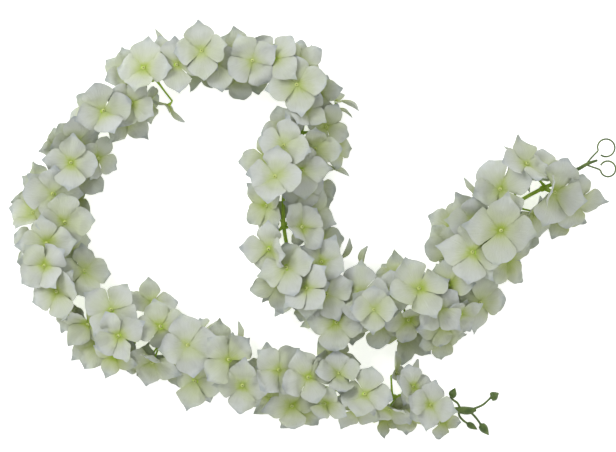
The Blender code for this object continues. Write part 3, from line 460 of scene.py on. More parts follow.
def petal_sheet(floret, i, bend, grow=0.0):
    """Points and triangles of one petal as a single sheet, with its notch corners."""
    outer = petal_outline(floret, i, bend, grow)
    first = floret.notch_point(i)
    last = floret.notch_point((i + 1) % 4)
    points = [first] + [outer[-1 - k] for k in range(len(outer))] + [last]
    count = len(points)
    if floret.fine:
        points.append(floret.petal_point(i, 0.56, 0.0, bend))
        faces = [(k, k + 1, count) for k in range(count - 1)]
        faces.append((count - 1, 0, count))
    else:
        faces = [(0, 1, 3), (0, 3, 4), (1, 2, 3)]
    return points, faces


def thick_sheet(points, faces, half):
    """A closed test shape round a sheet."""
    normals = [Vector((0.0, 0.0, 0.0)) for _ in points]
    for a, b, c in faces:
        n = (points[b] - points[a]).cross(points[c] - points[a]).normalized()
        normals[a] += n
        normals[b] += n
        normals[c] += n
    for n in normals:
        n.normalize()
    count = len(points)
    both = [p + n * half for p, n in zip(points, normals)]
    both += [p - n * half for p, n in zip(points, normals)]
    shell = list(faces) + [(c + count, b + count, a + count) for a, b, c in faces]
    edges = [e for a, b, c in faces for e in ((a, b), (b, c), (c, a))]
    for a, b in edges:
        if (b, a) not in edges:
            shell += [(a, a + count, b + count), (a, b + count, b)]
    return both, shell


def box(low, high):
    """The points and triangles of a closed shape between two rings of four corners."""
    faces = [(0, 1, 2), (0, 2, 3), (4, 6, 5), (4, 7, 6)]
    for k in range(4):
        n = (k + 1) % 4
        faces.append((k, k + 4, n + 4))
        faces.append((k, n + 4, n))
    return low + high, faces


def middle(corners):
    return sum(corners, Vector((0.0, 0.0, 0.0))) / 4.0


def rod(a, b, ra, rb):
    """A square test rod from a to b."""
    axis = (b - a).normalized()
    side = axis.orthogonal().normalized()
    over = axis.cross(side)
    rings = []
    for centre, r in ((a, ra), (b, rb)):
        turns = [k * math.pi / 2.0 for k in range(4)]
        rings.append([centre + side * (r * math.cos(t)) + over * (r * math.sin(t)) for t in turns])
    return box(*rings)


def sleeve_frame(s):
    """Centre, axis, side and top directions of the sleeve at s."""
    centre, axis = ROUTE.chord(s, STRAIGHT_HALF)
    side = Vector((-axis.y, axis.x, 0.0)).normalized()
    top = axis.cross(side).normalized()
    if top.z < 0.0:
        top = -top
    return centre, axis, side, top


def sleeve_roots(s):
    """Centres and outward directions of the eight places where a pedicel can leave a sleeve."""
    centre, axis, side, top = sleeve_frame(s)
    roots = []
    for half in (-1.0, 1.0):
        for out in (side, top, -side, -top):
            place = centre + out * SLEEVE_HALF + axis * (half * SLEEVE_LENGTH / 4.0)
            roots.append((place, out))
    return roots


def sleeve_ring(s, step, half):
    """Four corners round the sleeve's axis, at a step of its length from its middle."""
    centre, axis, side, top = sleeve_frame(s)
    mid = centre + axis * (SLEEVE_LENGTH * step)
    return [mid + (side * a + top * b) * half for a, b in SQUARE]


def root_corners(s):
    """The corners of the eight places where a pedicel can leave a sleeve."""
    rings = [sleeve_ring(s, step, SLEEVE_HALF) for step in (-0.5, 0.0, 0.5)]
    out = []
    for half in range(2):
        for k in range(4):
            n = (k + 1) % 4
            out.append((rings[half][k], rings[half][n], rings[half + 1][n], rings[half + 1][k]))
    return out


def ring(centre, axis, points, radius):
    """A square ring round the axis, with its corners turned like the given points."""
    out = []
    for p in points:
        arm = p - centre
        arm -= axis * arm.dot(axis)
        out.append(centre + arm.normalized() * radius)
    return out


def matched(first, second, axis):
    """The order of the second ring's corners that follows the first ring's without a twist."""
    side = axis.orthogonal().normalized()
    over = axis.cross(side)

    def angles(points):
        mid = middle(points)
        return [math.atan2((p - mid).dot(over), (p - mid).dot(side)) for p in points]

    def winding(points):
        return sum(a.cross(b).dot(axis) for a, b in zip(points, points[1:] + points[:1]))

    mid = middle(second)
    base = angles(first)
    same = winding([p - first[0] for p in first]) * winding([p - mid for p in second]) > 0.0
    order = (0, 1, 2, 3) if same else (3, 2, 1, 0)
    best = None
    for shift in range(4):
        pick = [order[(k + shift) % 4] for k in range(4)]
        other = angles([second[k] for k in pick])
        off = sum(1.0 - math.cos(a - b) for a, b in zip(base, other))
        if best is None or off < best[0]:
            best = (off, pick)
    return best[1]


def stalk_top(floret, radius):
    """The pedicel's upper ring, by notch, and the order that follows the root's corners."""
    neck = floret.neck()
    root = middle(floret.root_ring)
    top = ring(neck, floret.normal, [floret.notch_point(i) for i in range(4)], radius)
    return top, matched(floret.root_ring, top, (neck - root).normalized())


def stalk_shape(floret, grow, skip):
    """The tapered pedicel from its root on the sleeve to its neck under the floret."""
    corners = floret.root_ring
    root = middle(corners)
    neck = floret.neck()
    top, pick = stalk_top(floret, PEDICEL_RADIUS + grow)
    top = [top[k] for k in pick]
    low = []
    for a, b in zip(corners, top):
        p = a.lerp(b, skip)
        mid = root.lerp(neck, skip)
        low.append(p + (p - mid).normalized() * grow * 0.5)
    return box(low, top)


def calyx_shape(floret, grow):
    """The cone between the neck and the back of the floret."""
    neck = floret.neck()
    notches = [floret.notch_point(i) for i in range(4)]
    low = ring(neck, floret.normal, notches, PEDICEL_RADIUS + grow)
    high = [p + (p - floret.centre).normalized() * grow for p in notches]
    return box(low, high)


def button_shape(floret, grow):
    """The raised button on the front of the floret."""
    low = [floret.notch_point(i) for i in range(4)]
    rise = floret.normal * (BUTTON_HEIGHT + PETAL_SHEET / 2.0 + grow)
    return box(low, [floret.centre.lerp(p, 0.6) + rise for p in low])


def line_points(rows):
    return [grid_point(row[0], row[1], row[2] / 1000.0) for row in rows]


def stem_end(s):
    """Two points in line with the stem's end, the first a small gap past it."""
    end = ROUTE.point(s)
    inner = ROUTE.point(END_RUN if s == 0.0 else s - END_RUN)
    out = (end - inner).normalized()
    return [end + out * END_GAP, end + out * (END_GAP + 0.003)]


def bud_tubes():
    """The hub and the four stalks, each swelling into a closed bud, as points and radii."""
    first = stem_end(0.0)
    hub = first + line_points(BUD_HUB)
    tubes = [(hub, [STEM_RADIUS, 0.0028] + [row[3] / 1000.0 for row in BUD_HUB])]
    swell = ((0.0, 0.3), (0.16, 0.86), (0.45, 1.0), (0.76, 0.62), (1.0, 0.09))
    for rows, radius in zip(BUD_STALKS, BUD_RADIUS):
        stalk = line_points(rows)
        base = stalk[-2]
        tip = stalk[-1]
        points = stalk[:-1] + [base.lerp(tip, t) for t, r in swell[1:]]
        radii = [STALK_RADIUS / 1000.0] * (len(stalk) - 1)
        radii += [radius * r / 1000.0 for t, r in swell[1:]]
        tubes.append((points, radii))
    return tubes


def tendril_tubes():
    """The tendrils' stalk, the thin tendril and the two looped ones, as points and radii."""
    stalk = stem_end(ROUTE.length) + line_points(TENDRIL_STALK)
    tubes = [(stalk, [STEM_RADIUS, STEM_RADIUS] + [row[3] / 1000.0 for row in TENDRIL_STALK])]
    thin = line_points(THIN_TENDRIL)
    count = len(thin)
    tubes.append((thin, [TENDRIL_RADIUS / 1000.0 * (1.0 - 0.3 * k / count) for k in range(count)]))
    for a, b, c, middle, size, start, sweep in LOOPS:
        points = line_points((a, b, c))
        centre = line_points((middle,))[0]
        for k in range(LOOP_STEPS + 1):
            t = math.radians(start + sweep * k / LOOP_STEPS)
            drop = 0.0025 * k / LOOP_STEPS
            points.append(centre + Vector((math.cos(t), math.sin(t), 0.0)) * (size * GRID)
                          + Vector((0.0, 0.0, 0.001 - drop)))
        tubes.append((points, [TENDRIL_RADIUS / 1000.0] * len(points)))
    return tubes


class Space:
    """Everything already placed, as separate shapes that a new shape must stay clear of."""

    def __init__(self):
        self.shapes = []

    def add(self, points, faces):
        low = Vector([min(p[k] for p in points) for k in range(3)])
        high = Vector([max(p[k] for p in points) for k in range(3)])
        self.shapes.append((low, high, points, faces))

    def near(self, centre, reach):
        points = []
        faces = []
        for low, high, own, tris in self.shapes:
            if any(low[k] > centre[k] + reach or high[k] < centre[k] - reach for k in range(3)):
                continue
            base = len(points)
            points += own
            faces += [(a + base, b + base, c + base) for a, b, c in tris]
        if not faces:
            return None
        return BVHTree.FromPolygons(points, faces, all_triangles=True)


def clear(tree, points, faces):
    """Whether a shape lies between the lowest and highest levels and touches nothing placed."""
    if min(p.z for p in points) < LOWEST or max(p.z for p in points) > TALLEST:
        return False
    if tree is None:
        return True
    return not tree.overlap(BVHTree.FromPolygons(points, faces, all_triangles=True))


def freed_sheet(floret, i, bend):
    """A petal with the corners it shares with its neighbours drawn in a little."""
    points, faces = petal_sheet(floret, i, bend)
    last = 6 if floret.fine else 4
    points[0] = points[0].lerp(points[1], 0.2)
    points[last] = points[last].lerp(points[last - 1], 0.2)
    return points, faces


def fit_petals(floret, tree):
    """Bends each petal until it is clear; returns the sum of the bends, or None."""
    total = 0.0
    own = Space()
    own.add(*stalk_shape(floret, 0.0, 0.0))
    own.add(*calyx_shape(floret, 0.0))
    for i in range(4):
        beside = own.near(floret.centre, 0.2)
        for step in BEND_STEPS:
            bend = math.radians(step)
            beyond = [abs(bend - floret.bends[k]) for k in ((i - 1) % 4, (i + 1) % 4) if k < i]
            if beyond and max(beyond) > MOST_STEP:
                continue
            points, faces = petal_sheet(floret, i, bend, CLEARANCE)
            if not clear(tree, *thick_sheet(points, faces, PETAL_SHEET / 2.0 + CLEARANCE)):
                continue
            points, faces = freed_sheet(floret, i, bend)
            if not clear(beside, *thick_sheet(points, faces, PETAL_SHEET / 2.0 + FIT_GAP)):
                continue
            floret.bends[i] = bend
            total += abs(step)
            points, faces = petal_sheet(floret, i, bend)
            own.add(*thick_sheet(points, faces, PETAL_SHEET / 2.0))
            break
        else:
            return None
    return total


def stalk_clear(floret, tree):
    """Whether the pedicel, calyx and button stay clear, and the pedicel leaves its sleeve well."""
    neck = floret.neck()
    place, out = floret.root
    run = neck - place
    if run.length < LEAST_STALK or run.normalized().dot(out) < 0.30:
        return False
    if run.normalized().dot(floret.normal) < 0.1:
        return False
    skip = min(0.0025 / run.length, 0.4)
    return (clear(tree, *stalk_shape(floret, CLEARANCE, skip))
            and clear(tree, *stalk_shape(floret, FIT_GAP, CLEARANCE / run.length))
            and clear(tree, *button_shape(floret, CLEARANCE))
            and clear(tree, *calyx_shape(floret, CLEARANCE)))


class Sleeve:
    """One sprig's sleeve on the stem, with the places where pedicels can leave it."""

    def __init__(self, number, s):
        self.number = number
        self.s = s
        self.roots = sleeve_roots(s)
        self.corners = root_corners(s)
        self.free = list(range(8))

    def ranked(self, neck):
        """The free places, the one that faces the neck most squarely first."""
        def score(k):
            return -(neck - self.roots[k][0]).normalized().dot(self.roots[k][1])
        return sorted(self.free, key=score)


def sound(floret, sleeve):
    """Whether the floret's own faces, with its pedicel and sleeve, stay clear of one another."""
    bm = bmesh.new()
    faces = add_sleeve(bm, sleeve.s)
    add_floret(bm, floret, faces[floret.root_face])
    bmesh.ops.triangulate(bm, faces=[f for f in bm.faces if len(f.verts) > 3])
    bm.faces.ensure_lookup_table()
    tree = BVHTree.FromBMesh(bm, epsilon=0.0)
    pairs = [(bm.faces[a].verts, bm.faces[b].verts) for a, b in tree.overlap(tree) if a < b]
    good = all(set(first) & set(second) for first, second in pairs)
    bm.free()
    return good


def settle(floret, sleeve, space):
    """Tries poses round the wanted one and keeps the one that bends the petals least."""
    wanted = floret.pose()
    centre, normal, turn, length, _ = wanted
    tree = space.near(centre, SEARCH_REACH)
    best = None
    for k in range(SEARCH_TRIES):
        draw = random.Random(SEED * 1000000 + floret.number * 1000 + k)
        loose = 0.0 if k == 0 else 0.2 + min(k, 220) / 160.0
        move = Vector((draw.uniform(-1, 1), draw.uniform(-1, 1), draw.uniform(-1, 1)))
        floret.centre = centre + Vector([m * step for m, step in zip(move, SEARCH_MOVE)]) * loose
        lean = Vector((draw.uniform(-1, 1), draw.uniform(-1, 1), draw.uniform(-1, 1)))
        floret.normal = (normal + lean * 0.5 * loose).normalized()
        floret.turn = turn + math.radians(draw.uniform(-18, 18)) * loose
        small = draw.choice((0.0, 0.1, 0.2) if k < 160 else (0.1, 0.2, 0.3)) if k > 24 else 0.0
        floret.length = length * (1.0 - small)
        floret.set_axes()
        ranked = sleeve.ranked(floret.neck())
        pick = ranked[draw.choice((0, 0, 1)) if k > 12 else 0]
        floret.plug(sleeve, pick)
        if not stalk_clear(floret, tree):
            continue
        total = fit_petals(floret, tree)
        if total is None:
            continue
        drift = math.hypot(floret.centre.x - centre.x, floret.centre.y - centre.y)
        cost = total + DRIFT_COST * drift + SMALL_COST * small
        if (best is None or cost < best[0]) and sound(floret, sleeve):
            best = (cost, floret.pose(), pick)
        if best is not None and best[0] < 30.0 + 0.8 * k:
            break
    floret.take(best[1] if best else wanted)
    if best:
        floret.plug(sleeve, best[2])
        sleeve.free.remove(best[2])
    return best is not None


def lay_out():
    """Groups the florets into sprigs along the stem and finds a clear pose for each."""
    florets = [Floret(n, row) for n, row in enumerate(FLORETS)]
    florets.sort(key=lambda f: f.s)
    groups = [florets[k:k + SPRIG_FLORETS] for k in range(0, len(florets), SPRIG_FLORETS)]
    stations = []
    for group in groups:
        s = sum(f.s for f in group) / len(group)
        if stations:
            s = max(s, stations[-1] + SLEEVE_ROOM)
        stations.append(max(s, FIRST_SLEEVE))
    limit = ROUTE.length - LAST_SLEEVE
    for k in reversed(range(len(stations))):
        stations[k] = min(stations[k], limit)
        limit = stations[k] - SLEEVE_ROOM
    space = Space()
    for x, y, half, low in OPEN_PLACES:
        wide = half * GRID
        space.add(*rod(grid_point(x, y, low / 1000.0), grid_point(x, y, OPEN_TOP), wide, wide))
    stops = [ROUTE.length * k / STEM_RODS for k in range(STEM_RODS + 1)]
    for a, b in zip(stops, stops[1:]):
        space.add(*rod(ROUTE.point(a), ROUTE.point(b), STEM_RADIUS * 1.1, STEM_RADIUS * 1.1))
    for points, radii in bud_tubes() + tendril_tubes():
        for a, b, ra, rb in zip(points, points[1:], radii, radii[1:]):
            space.add(*rod(a, b, ra + CLEARANCE, rb + CLEARANCE))
    sleeves = [Sleeve(n, s) for n, s in enumerate(stations)]
    home = {}
    for sleeve, group in zip(sleeves, groups):
        space.add(*box(*[sleeve_ring(sleeve.s, step, SLEEVE_HALF) for step in (-0.5, 0.5)]))
        for f in group:
            home[f.number] = sleeve.number
            if f.layer == "e" and (f.centre - ROUTE.point(sleeve.s)).dot(f.normal) < 0.0:
                f.normal.negate()
                f.set_axes()
    order = {"e": 0, "t": 1, "s": 2, "u": 3, "l": 4}
    held = [[] for _ in sleeves]
    for f in sorted(florets, key=lambda f: (order[f.layer], f.number)):
        here = home[f.number]
        near = sorted(range(len(sleeves)), key=lambda n: abs(sleeves[n].s - f.s))
        choices = [here] + [n for n in near if n != here][:2]
        for n in choices:
            if len(sleeves[n].free) > 3 and settle(f, sleeves[n], space):
                break
        else:
            continue
        held[n].append(f)
        for i in range(4):
            points, faces = petal_sheet(f, i, f.bends[i])
            space.add(*thick_sheet(points, faces, PETAL_SHEET / 2.0))
        space.add(*stalk_shape(f, 0.0, 0.0))
        space.add(*calyx_shape(f, 0.0))
        space.add(*button_shape(f, 0.0))
    return held, stations


def add_sleeve(bm, s):
    """A square sleeve in two halves round the stem; returns its outer faces in the roots' order."""
    spots = [(step, SLEEVE_HALF) for step in (-0.5, 0.0, 0.5)]
    spots += [(step, SLEEVE_BORE) for step in (-0.5, 0.5)]
    rings = [[bm.verts.new(p) for p in sleeve_ring(s, *spot)] for spot in spots]
    holes = rings[3:]
    faces = []
    for low, high in zip(rings[:2], rings[1:3]):
        for k in range(4):
            n = (k + 1) % 4
            faces.append(bm.faces.new((low[k], low[n], high[n], high[k])))
    for k in range(4):
        n = (k + 1) % 4
        bm.faces.new((holes[0][k], holes[1][k], holes[1][n], holes[0][n]))
        bm.faces.new((rings[0][k], holes[0][k], holes[0][n], rings[0][n]))
        bm.faces.new((rings[2][k], rings[2][n], holes[1][n], holes[1][k]))
    return faces


def add_floret(bm, floret, root_face):
    """The four-petalled sheet, its centre button, and the pedicel down to the sleeve."""
    notches = [bm.verts.new(floret.notch_point(i)) for i in range(4)]
    sheet = [bm.faces.new(notches)]
    for i in range(4):
        points, tris = petal_sheet(floret, i, floret.bends[i])
        ends = len(points) - (2 if floret.fine else 1)
        shared = {0: notches[i], ends: notches[(i + 1) % 4]}
        verts = [shared[k] if k in shared else bm.verts.new(p) for k, p in enumerate(points)]
        sheet += [bm.faces.new([verts[k] for k in tri]) for tri in tris]
    bm.normal_update()
    if sheet[0].normal.dot(floret.normal) < 0.0:
        bmesh.ops.reverse_faces(bm, faces=sheet[:1])
    bm.normal_update()
    old = list({v for f in sheet for v in f.verts})
    push = {}
    for v in old:
        n = Vector((0.0, 0.0, 0.0))
        for f in v.link_faces:
            n += f.normal * f.calc_area()
        push[v.co.copy().freeze()] = n.normalized()
    made = bmesh.ops.extrude_face_region(bm, geom=sheet)
    new = [v for v in made["geom"] if isinstance(v, bmesh.types.BMVert)]
    back = [f for f in made["geom"] if isinstance(f, bmesh.types.BMFace)]
    for v in old:
        v.co += push[v.co.copy().freeze()] * (PETAL_SHEET / 2.0)
    for v in new:
        v.co -= push[v.co.copy().freeze()] * (PETAL_SHEET / 2.0)
    back_centre = [f for f in back if len(f.verts) == 4][0]
    button = bmesh.ops.extrude_discrete_faces(bm, faces=sheet[:1])["faces"][0]
    heart = button.calc_center_median()
    for v in button.verts:
        v.co = heart + (v.co - heart) * 0.55 + floret.normal * BUTTON_HEIGHT
    end = bmesh.ops.extrude_discrete_faces(bm, faces=[back_centre])["faces"][0]
    top, pick = stalk_top(floret, PEDICEL_RADIUS)
    by_notch = []
    for i in range(4):
        by_notch.append(min(end.verts, key=lambda v: (v.co - floret.notch_point(i)).length))
    for v, place in zip(by_notch, top):
        v.co = place
    low = list(root_face.verts)
    high = [by_notch[k] for k in pick]
    bmesh.ops.delete(bm, geom=[end, root_face], context="FACES_ONLY")
    for k in range(4):
        n = (k + 1) % 4
        bm.faces.new((low[k], high[k], high[n]))
        bm.faces.new((low[k], high[n], low[n]))


class PetalForm:
    """How one petal leaves its floret: its directions, size, bend, curl, fold and level."""

    def __init__(self, along, across, size, start, curl, fold, lap, width):
        self.along = along
        self.across = across
        self.size = size
        self.start = start
        self.curl = curl
        self.fold = fold
        self.lap = lap
        self.width = width

    def profile(self):
        """Reach, rise and slope along the middle of the petal, from the centre to the tip."""
        rows = [(0.0, 0.0, 0.0)]
        for k in range(PROFILE_STEPS):
            u = (k + 0.5) / PROFILE_STEPS
            ease = min(max((u - NOTCH / 3.0) / (NOTCH * 4.0 / 3.0), 0.0), 1.0)
            slope = self.start * ease + self.curl * max(u - NOTCH, 0.0)
            out, rise, _ = rows[-1]
            out += math.cos(slope) / PROFILE_STEPS
            rise += math.sin(slope) / PROFILE_STEPS
            rows.append((out, rise, slope))
        return rows


def front_form(floret, i):
    """One of the four petals of the floret's first layer."""
    along, across = floret.petal_axes(i)
    size = floret.length * floret.sizes[i]
    start = min(max(floret.rest[i] + floret.bends[i], -MOST_BEND), MOST_BEND)
    fold = floret.folds[i]
    if floret.layer == "e":
        fold = EDGE_FOLD
        size *= EDGE_REACH if i == 0 else 1.0
    lap = PETAL_LAP if i % 2 == 0 else -PETAL_LAP
    width = PETAL_WIDTH if floret.layer == "t" else SIDE_WIDTH
    return PetalForm(along, across, size, start, floret.curls[i], fold, lap, width)


def back_form(floret, i, draw):
    """A petal of the second layer, between two of the first and bent further back."""
    a = floret.turn + (i + 0.5 + draw.uniform(-0.15, 0.15)) * math.pi / 2.0
    along = floret.ax * math.cos(a) + floret.ay * math.sin(a)
    across = floret.ay * math.cos(a) - floret.ax * math.sin(a)
    size = floret.length * draw.uniform(0.72, 1.16)
    start = math.radians(draw.uniform(-46.0, 14.0))
    curl = math.radians(draw.uniform(-34.0, 40.0))
    fold = math.radians(draw.choice((-1.0, 1.0)) * draw.uniform(8.0, 40.0))
    return PetalForm(along, across, size, start, curl, fold, -BACK_LAP, BACK_WIDTH)


def petal_spread(x, y, cut):
    """Where a corner of a square grid lands on the flat petal, for x and y from -1 to 1."""
    broad, point, skew, place = cut
    disc_x = x * math.sqrt(1.0 - y * y / 2.0)
    disc_y = y * math.sqrt(1.0 - x * x / 2.0)
    t = (1.0 + disc_y) / 2.0
    u = PETAL_ROOT + (1.0 - PETAL_ROOT) * t ** 0.8
    most = 2.0 * math.sqrt(max(t * (1.0 - t), 0.0)) * broad
    narrow = 1.0 - (0.16 + 0.42 * point) * t ** 3.5
    if most > 0.97 * u:
        narrow *= 0.97 * u / most
    w = broad * disc_x * narrow
    u += point * 0.17 * max(0.0, 1.0 - abs(w) / 0.17) * t ** 9 - 0.03 * point
    rough = noise.noise(place + Vector((disc_x * 1.7, disc_y * 1.7, 7.0)))
    other = noise.noise(place + Vector((disc_x * 1.7, disc_y * 1.7, 31.0)))
    u += RAGGED * rough * t
    w += RAGGED * other * t
    return u, w + skew * math.sin(math.pi * u)


def above_surface(z):
    """Cloth that would dip under the surface lies along it."""
    if z > LAY_LEVEL:
        return z
    depth = LAY_LEVEL - LAY_LOW
    return LAY_LOW + depth * math.exp((z - LAY_LEVEL) / depth)


def petal_corners(floret, form, draw, life=1.0):
    """Turns a corner of the square grid into a point of the petal and its place on the cloth."""
    rows = form.profile()
    creases = Vector((draw.uniform(0.0, 90.0), draw.uniform(0.0, 90.0), draw.uniform(0.0, 90.0)))
    broad = form.width * draw.uniform(0.93, 1.12)
    point = draw.random() ** 0.6
    skew = draw.uniform(-0.04, 0.04)
    cup = math.tan(form.fold) / PETAL_WIDTH
    wave = draw.uniform(0.015, 0.045)
    turns = draw.uniform(0.9, 1.9)
    phase = draw.uniform(0.0, 2.0 * math.pi)
    other = phase + draw.uniform(0.8, 3.6)
    twist = draw.uniform(-0.16, 0.16)
    flick = draw.uniform(-0.22, 0.24)
    crush = CRUMPLE * draw.uniform(0.6, 1.3)
    if floret.layer == "e":
        broad *= 0.8
        point *= 0.5
        crush *= 0.25
        flick *= 0.3
    crush *= life
    flick *= life
    twist *= life
    cut = (broad, point, skew, creases)

    def corner(x, y):
        u, w = petal_spread(x, y, cut)
        place = min(u, 1.0) * PROFILE_STEPS
        k = min(int(place), PROFILE_STEPS - 1)
        part = u * PROFILE_STEPS - k
        out = rows[k][0] * (1.0 - part) + rows[k + 1][0] * part
        rise = rows[k][1] * (1.0 - part) + rows[k + 1][1] * part
        slope = rows[k][2]
        edge = (w / PETAL_WIDTH) ** 2
        lift = cup * w * w + twist * w * u
        lift += wave * edge * math.sin(turns * 2.0 * math.pi * u + (phase if w > 0.0 else other))
        lift += flick * max(u - 0.72, 0.0) ** 2 * 3.0
        lift -= 0.014 * math.exp(-(w / 0.07) ** 2) * min(u * 3.0, 1.0)
        held = min(max((u - 0.1) * 3.0, 0.0), 1.0)
        lift += crush * noise.noise(creases + Vector((u * 2.6, w * 3.4, 0.0))) * held
        lift += 0.35 * crush * noise.noise(creases + Vector((u * 7.0, w * 8.0, 50.0))) * held
        out -= lift * math.sin(slope)
        rise += lift * math.cos(slope)
        place = floret.centre + form.size * (form.along * out + form.across * w)
        place += floret.normal * (form.size * rise + form.lap)
        place.z = above_surface(place.z)
        return place, u, w

    return corner


def add_petal(bm, layer, corner, shade_and_tone):
    """One silk petal with the thickness of its cloth."""
    made = bmesh.ops.create_grid(bm, x_segments=PETAL_ACROSS, y_segments=PETAL_ALONG, size=1.0)
    for v in made["verts"]:
        v.co, u, w = corner(v.co.x, v.co.y)
        # the third value is the petal's painted shade and random tone
        v[layer] = Vector((u, w, shade_and_tone))
    faces = list({f for v in made["verts"] for f in v.link_faces})
    bmesh.ops.solidify(bm, geom=faces, thickness=PETAL_CLOTH)


def shade(shade_and_tone):
    """A value of painted shade and random tone, kept between the lit colours and the shaded ones."""
    return min(max(shade_and_tone, 0.0), 1.0)


def petal_trial(corner):
    """A search tree of one petal with its cloth."""
    bm = bmesh.new()
    add_petal(bm, bm.verts.layers.float_vector.new("petal_map"), corner, 0.0)
    tree = BVHTree.FromBMesh(bm)
    bm.free()
    return tree


def add_tube(bm, points, radii, sides):
    """A closed round tube through the points, with its own radius at each."""
    made = bmesh.ops.create_circle(bm, cap_ends=True, segments=sides, radius=1.0)
    face = made["verts"][0].link_faces[0]
    first = list(face.edges)
    corners = list(face.verts)
    arms = [v.co.copy() for v in corners]
    side = (points[1] - points[0]).orthogonal().normalized()
    last = len(points) - 1
    for k, (point, radius) in enumerate(zip(points, radii)):
        before = (point - points[k - 1]).normalized() if k else (points[1] - point).normalized()
        after = (points[k + 1] - point).normalized() if k < last else before
        axis = (before + after).normalized()
        side = (side - axis * side.dot(axis)).normalized()
        over = axis.cross(side)
        if k:
            here = [v.co.copy() for v in corners]
            face = bmesh.ops.extrude_discrete_faces(bm, faces=[face])["faces"][0]
            corners = [min(face.verts, key=lambda v: (v.co - c).length) for c in here]
        for v, arm in zip(corners, arms):
            v.co = point + (side * arm.x + over * arm.y) * radius
    bmesh.ops.holes_fill(bm, edges=first, sides=sides)


def add_dome(bm, centre, axis, radius, flatness, segments, rings):
    """A low rounded button on the given axis; returns its faces."""
    made = bmesh.ops.create_uvsphere(bm, u_segments=segments, v_segments=rings, radius=radius)
    turn = Vector((0.0, 0.0, 1.0)).rotation_difference(axis).to_matrix().to_4x4()
    place = Matrix.Translation(centre) @ turn @ Matrix.Diagonal((1.0, 1.0, flatness, 1.0))
    bmesh.ops.transform(bm, matrix=place, verts=made["verts"])
    return list({f for v in made["verts"] for f in v.link_faces})


def heart_size(floret):
    """How large the calyx and the pin head are, as a share of a full floret's."""
    return min(floret.length / FULL_PETAL, 1.1)


def add_stalk(bm, floret):
    """A round pedicel from the sleeve to the floret's neck, and the calyx that flares over it."""
    root, out = floret.root
    neck = floret.neck()
    bend = root.lerp(neck, 0.5) + (out - (neck - root).normalized()) * (neck - root).length * 0.04
    start = root - out * ROOT_DEPTH
    add_tube(bm, [start, root.lerp(bend, 0.3), bend, neck], PEDICEL_RADII, 8)
    points = [neck.lerp(floret.centre, t) for t, _ in CALYX_PROFILE]
    add_tube(bm, points, [r * heart_size(floret) for _, r in CALYX_PROFILE], 10)


def add_object(name, data):
    obj = bpy.data.objects.new(name, data)
    bpy.context.scene.collection.objects.link(obj)
    return obj


def finish_mesh(name, bm, materials, sharp):
    """Makes the piece's object at the origin, shaded smooth, riding the garland's only body."""
    bmesh.ops.recalc_face_normals(bm, faces=list(bm.faces))
    for face in bm.faces:
        face.smooth = True
    mesh = bpy.data.meshes.new(name)
    bm.to_mesh(mesh)
    bm.free()
    mesh.set_sharp_from_angle(angle=math.radians(sharp))
    for material in materials:
        mesh.materials.append(material)
    obj = add_object(name, mesh)
    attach(obj, "root")
    return obj


def new_material(name, roughness):
    """A new material with its node tree and its surface shader."""
    material = bpy.data.materials.new(name)
    material.use_nodes = True
    shader = material.node_tree.nodes["Principled BSDF"]
    shader.inputs["Roughness"].default_value = roughness
    return material, material.node_tree, shader


def math_node(tree, operation, a, b=None):
    """One sum on sockets or plain numbers."""
    node = tree.nodes.new("ShaderNodeMath")
    node.operation = operation
    for socket, value in zip(node.inputs, (a, b)):
        if value is None:
            continue
        if isinstance(value, (int, float)):
            socket.default_value = value
        else:
            tree.links.new(value, socket)
    return node.outputs[0]


def ramp_node(tree, factor, stops):
    """A run of colours along a factor, as places with their colours."""
    ramp = tree.nodes.new("ShaderNodeValToRGB")
    tree.links.new(factor, ramp.inputs["Fac"])
    elements = ramp.color_ramp.elements
    while len(elements) < len(stops):
        elements.new(0.5)
    for element, (place, colour) in zip(elements, stops):
        element.position = place
        element.color = (*colour, 1.0)
    return ramp.outputs["Color"]


def mix_colour(tree, factor, a, b, blend="MIX"):
    """Two colours mixed by a factor, each a socket or plain values."""
    mix = tree.nodes.new("ShaderNodeMix")
    mix.data_type = "RGBA"
    mix.blend_type = blend
    sockets = {"factor": mix.inputs[0], "a": mix.inputs[6], "b": mix.inputs[7]}
    for key, value in (("factor", factor), ("a", a), ("b", b)):
        if isinstance(value, (int, float)):
            sockets[key].default_value = value
        elif isinstance(value, tuple):
            sockets[key].default_value = (*value, 1.0)
        else:
            tree.links.new(value, sockets[key])
    return mix.outputs[2]


def noise_node(tree, vector, scale, detail):
    cloud = tree.nodes.new("ShaderNodeTexNoise")
    cloud.inputs["Scale"].default_value = scale
    cloud.inputs["Detail"].default_value = detail
    tree.links.new(vector, cloud.inputs["Vector"])
    return cloud.outputs["Fac"]


def bump_node(tree, height, strength, distance, shader):
    bump = tree.nodes.new("ShaderNodeBump")
    bump.inputs["Strength"].default_value = strength
    bump.inputs["Distance"].default_value = distance
    tree.links.new(height, bump.inputs["Height"])
    tree.links.new(bump.outputs["Normal"], shader.inputs["Normal"])


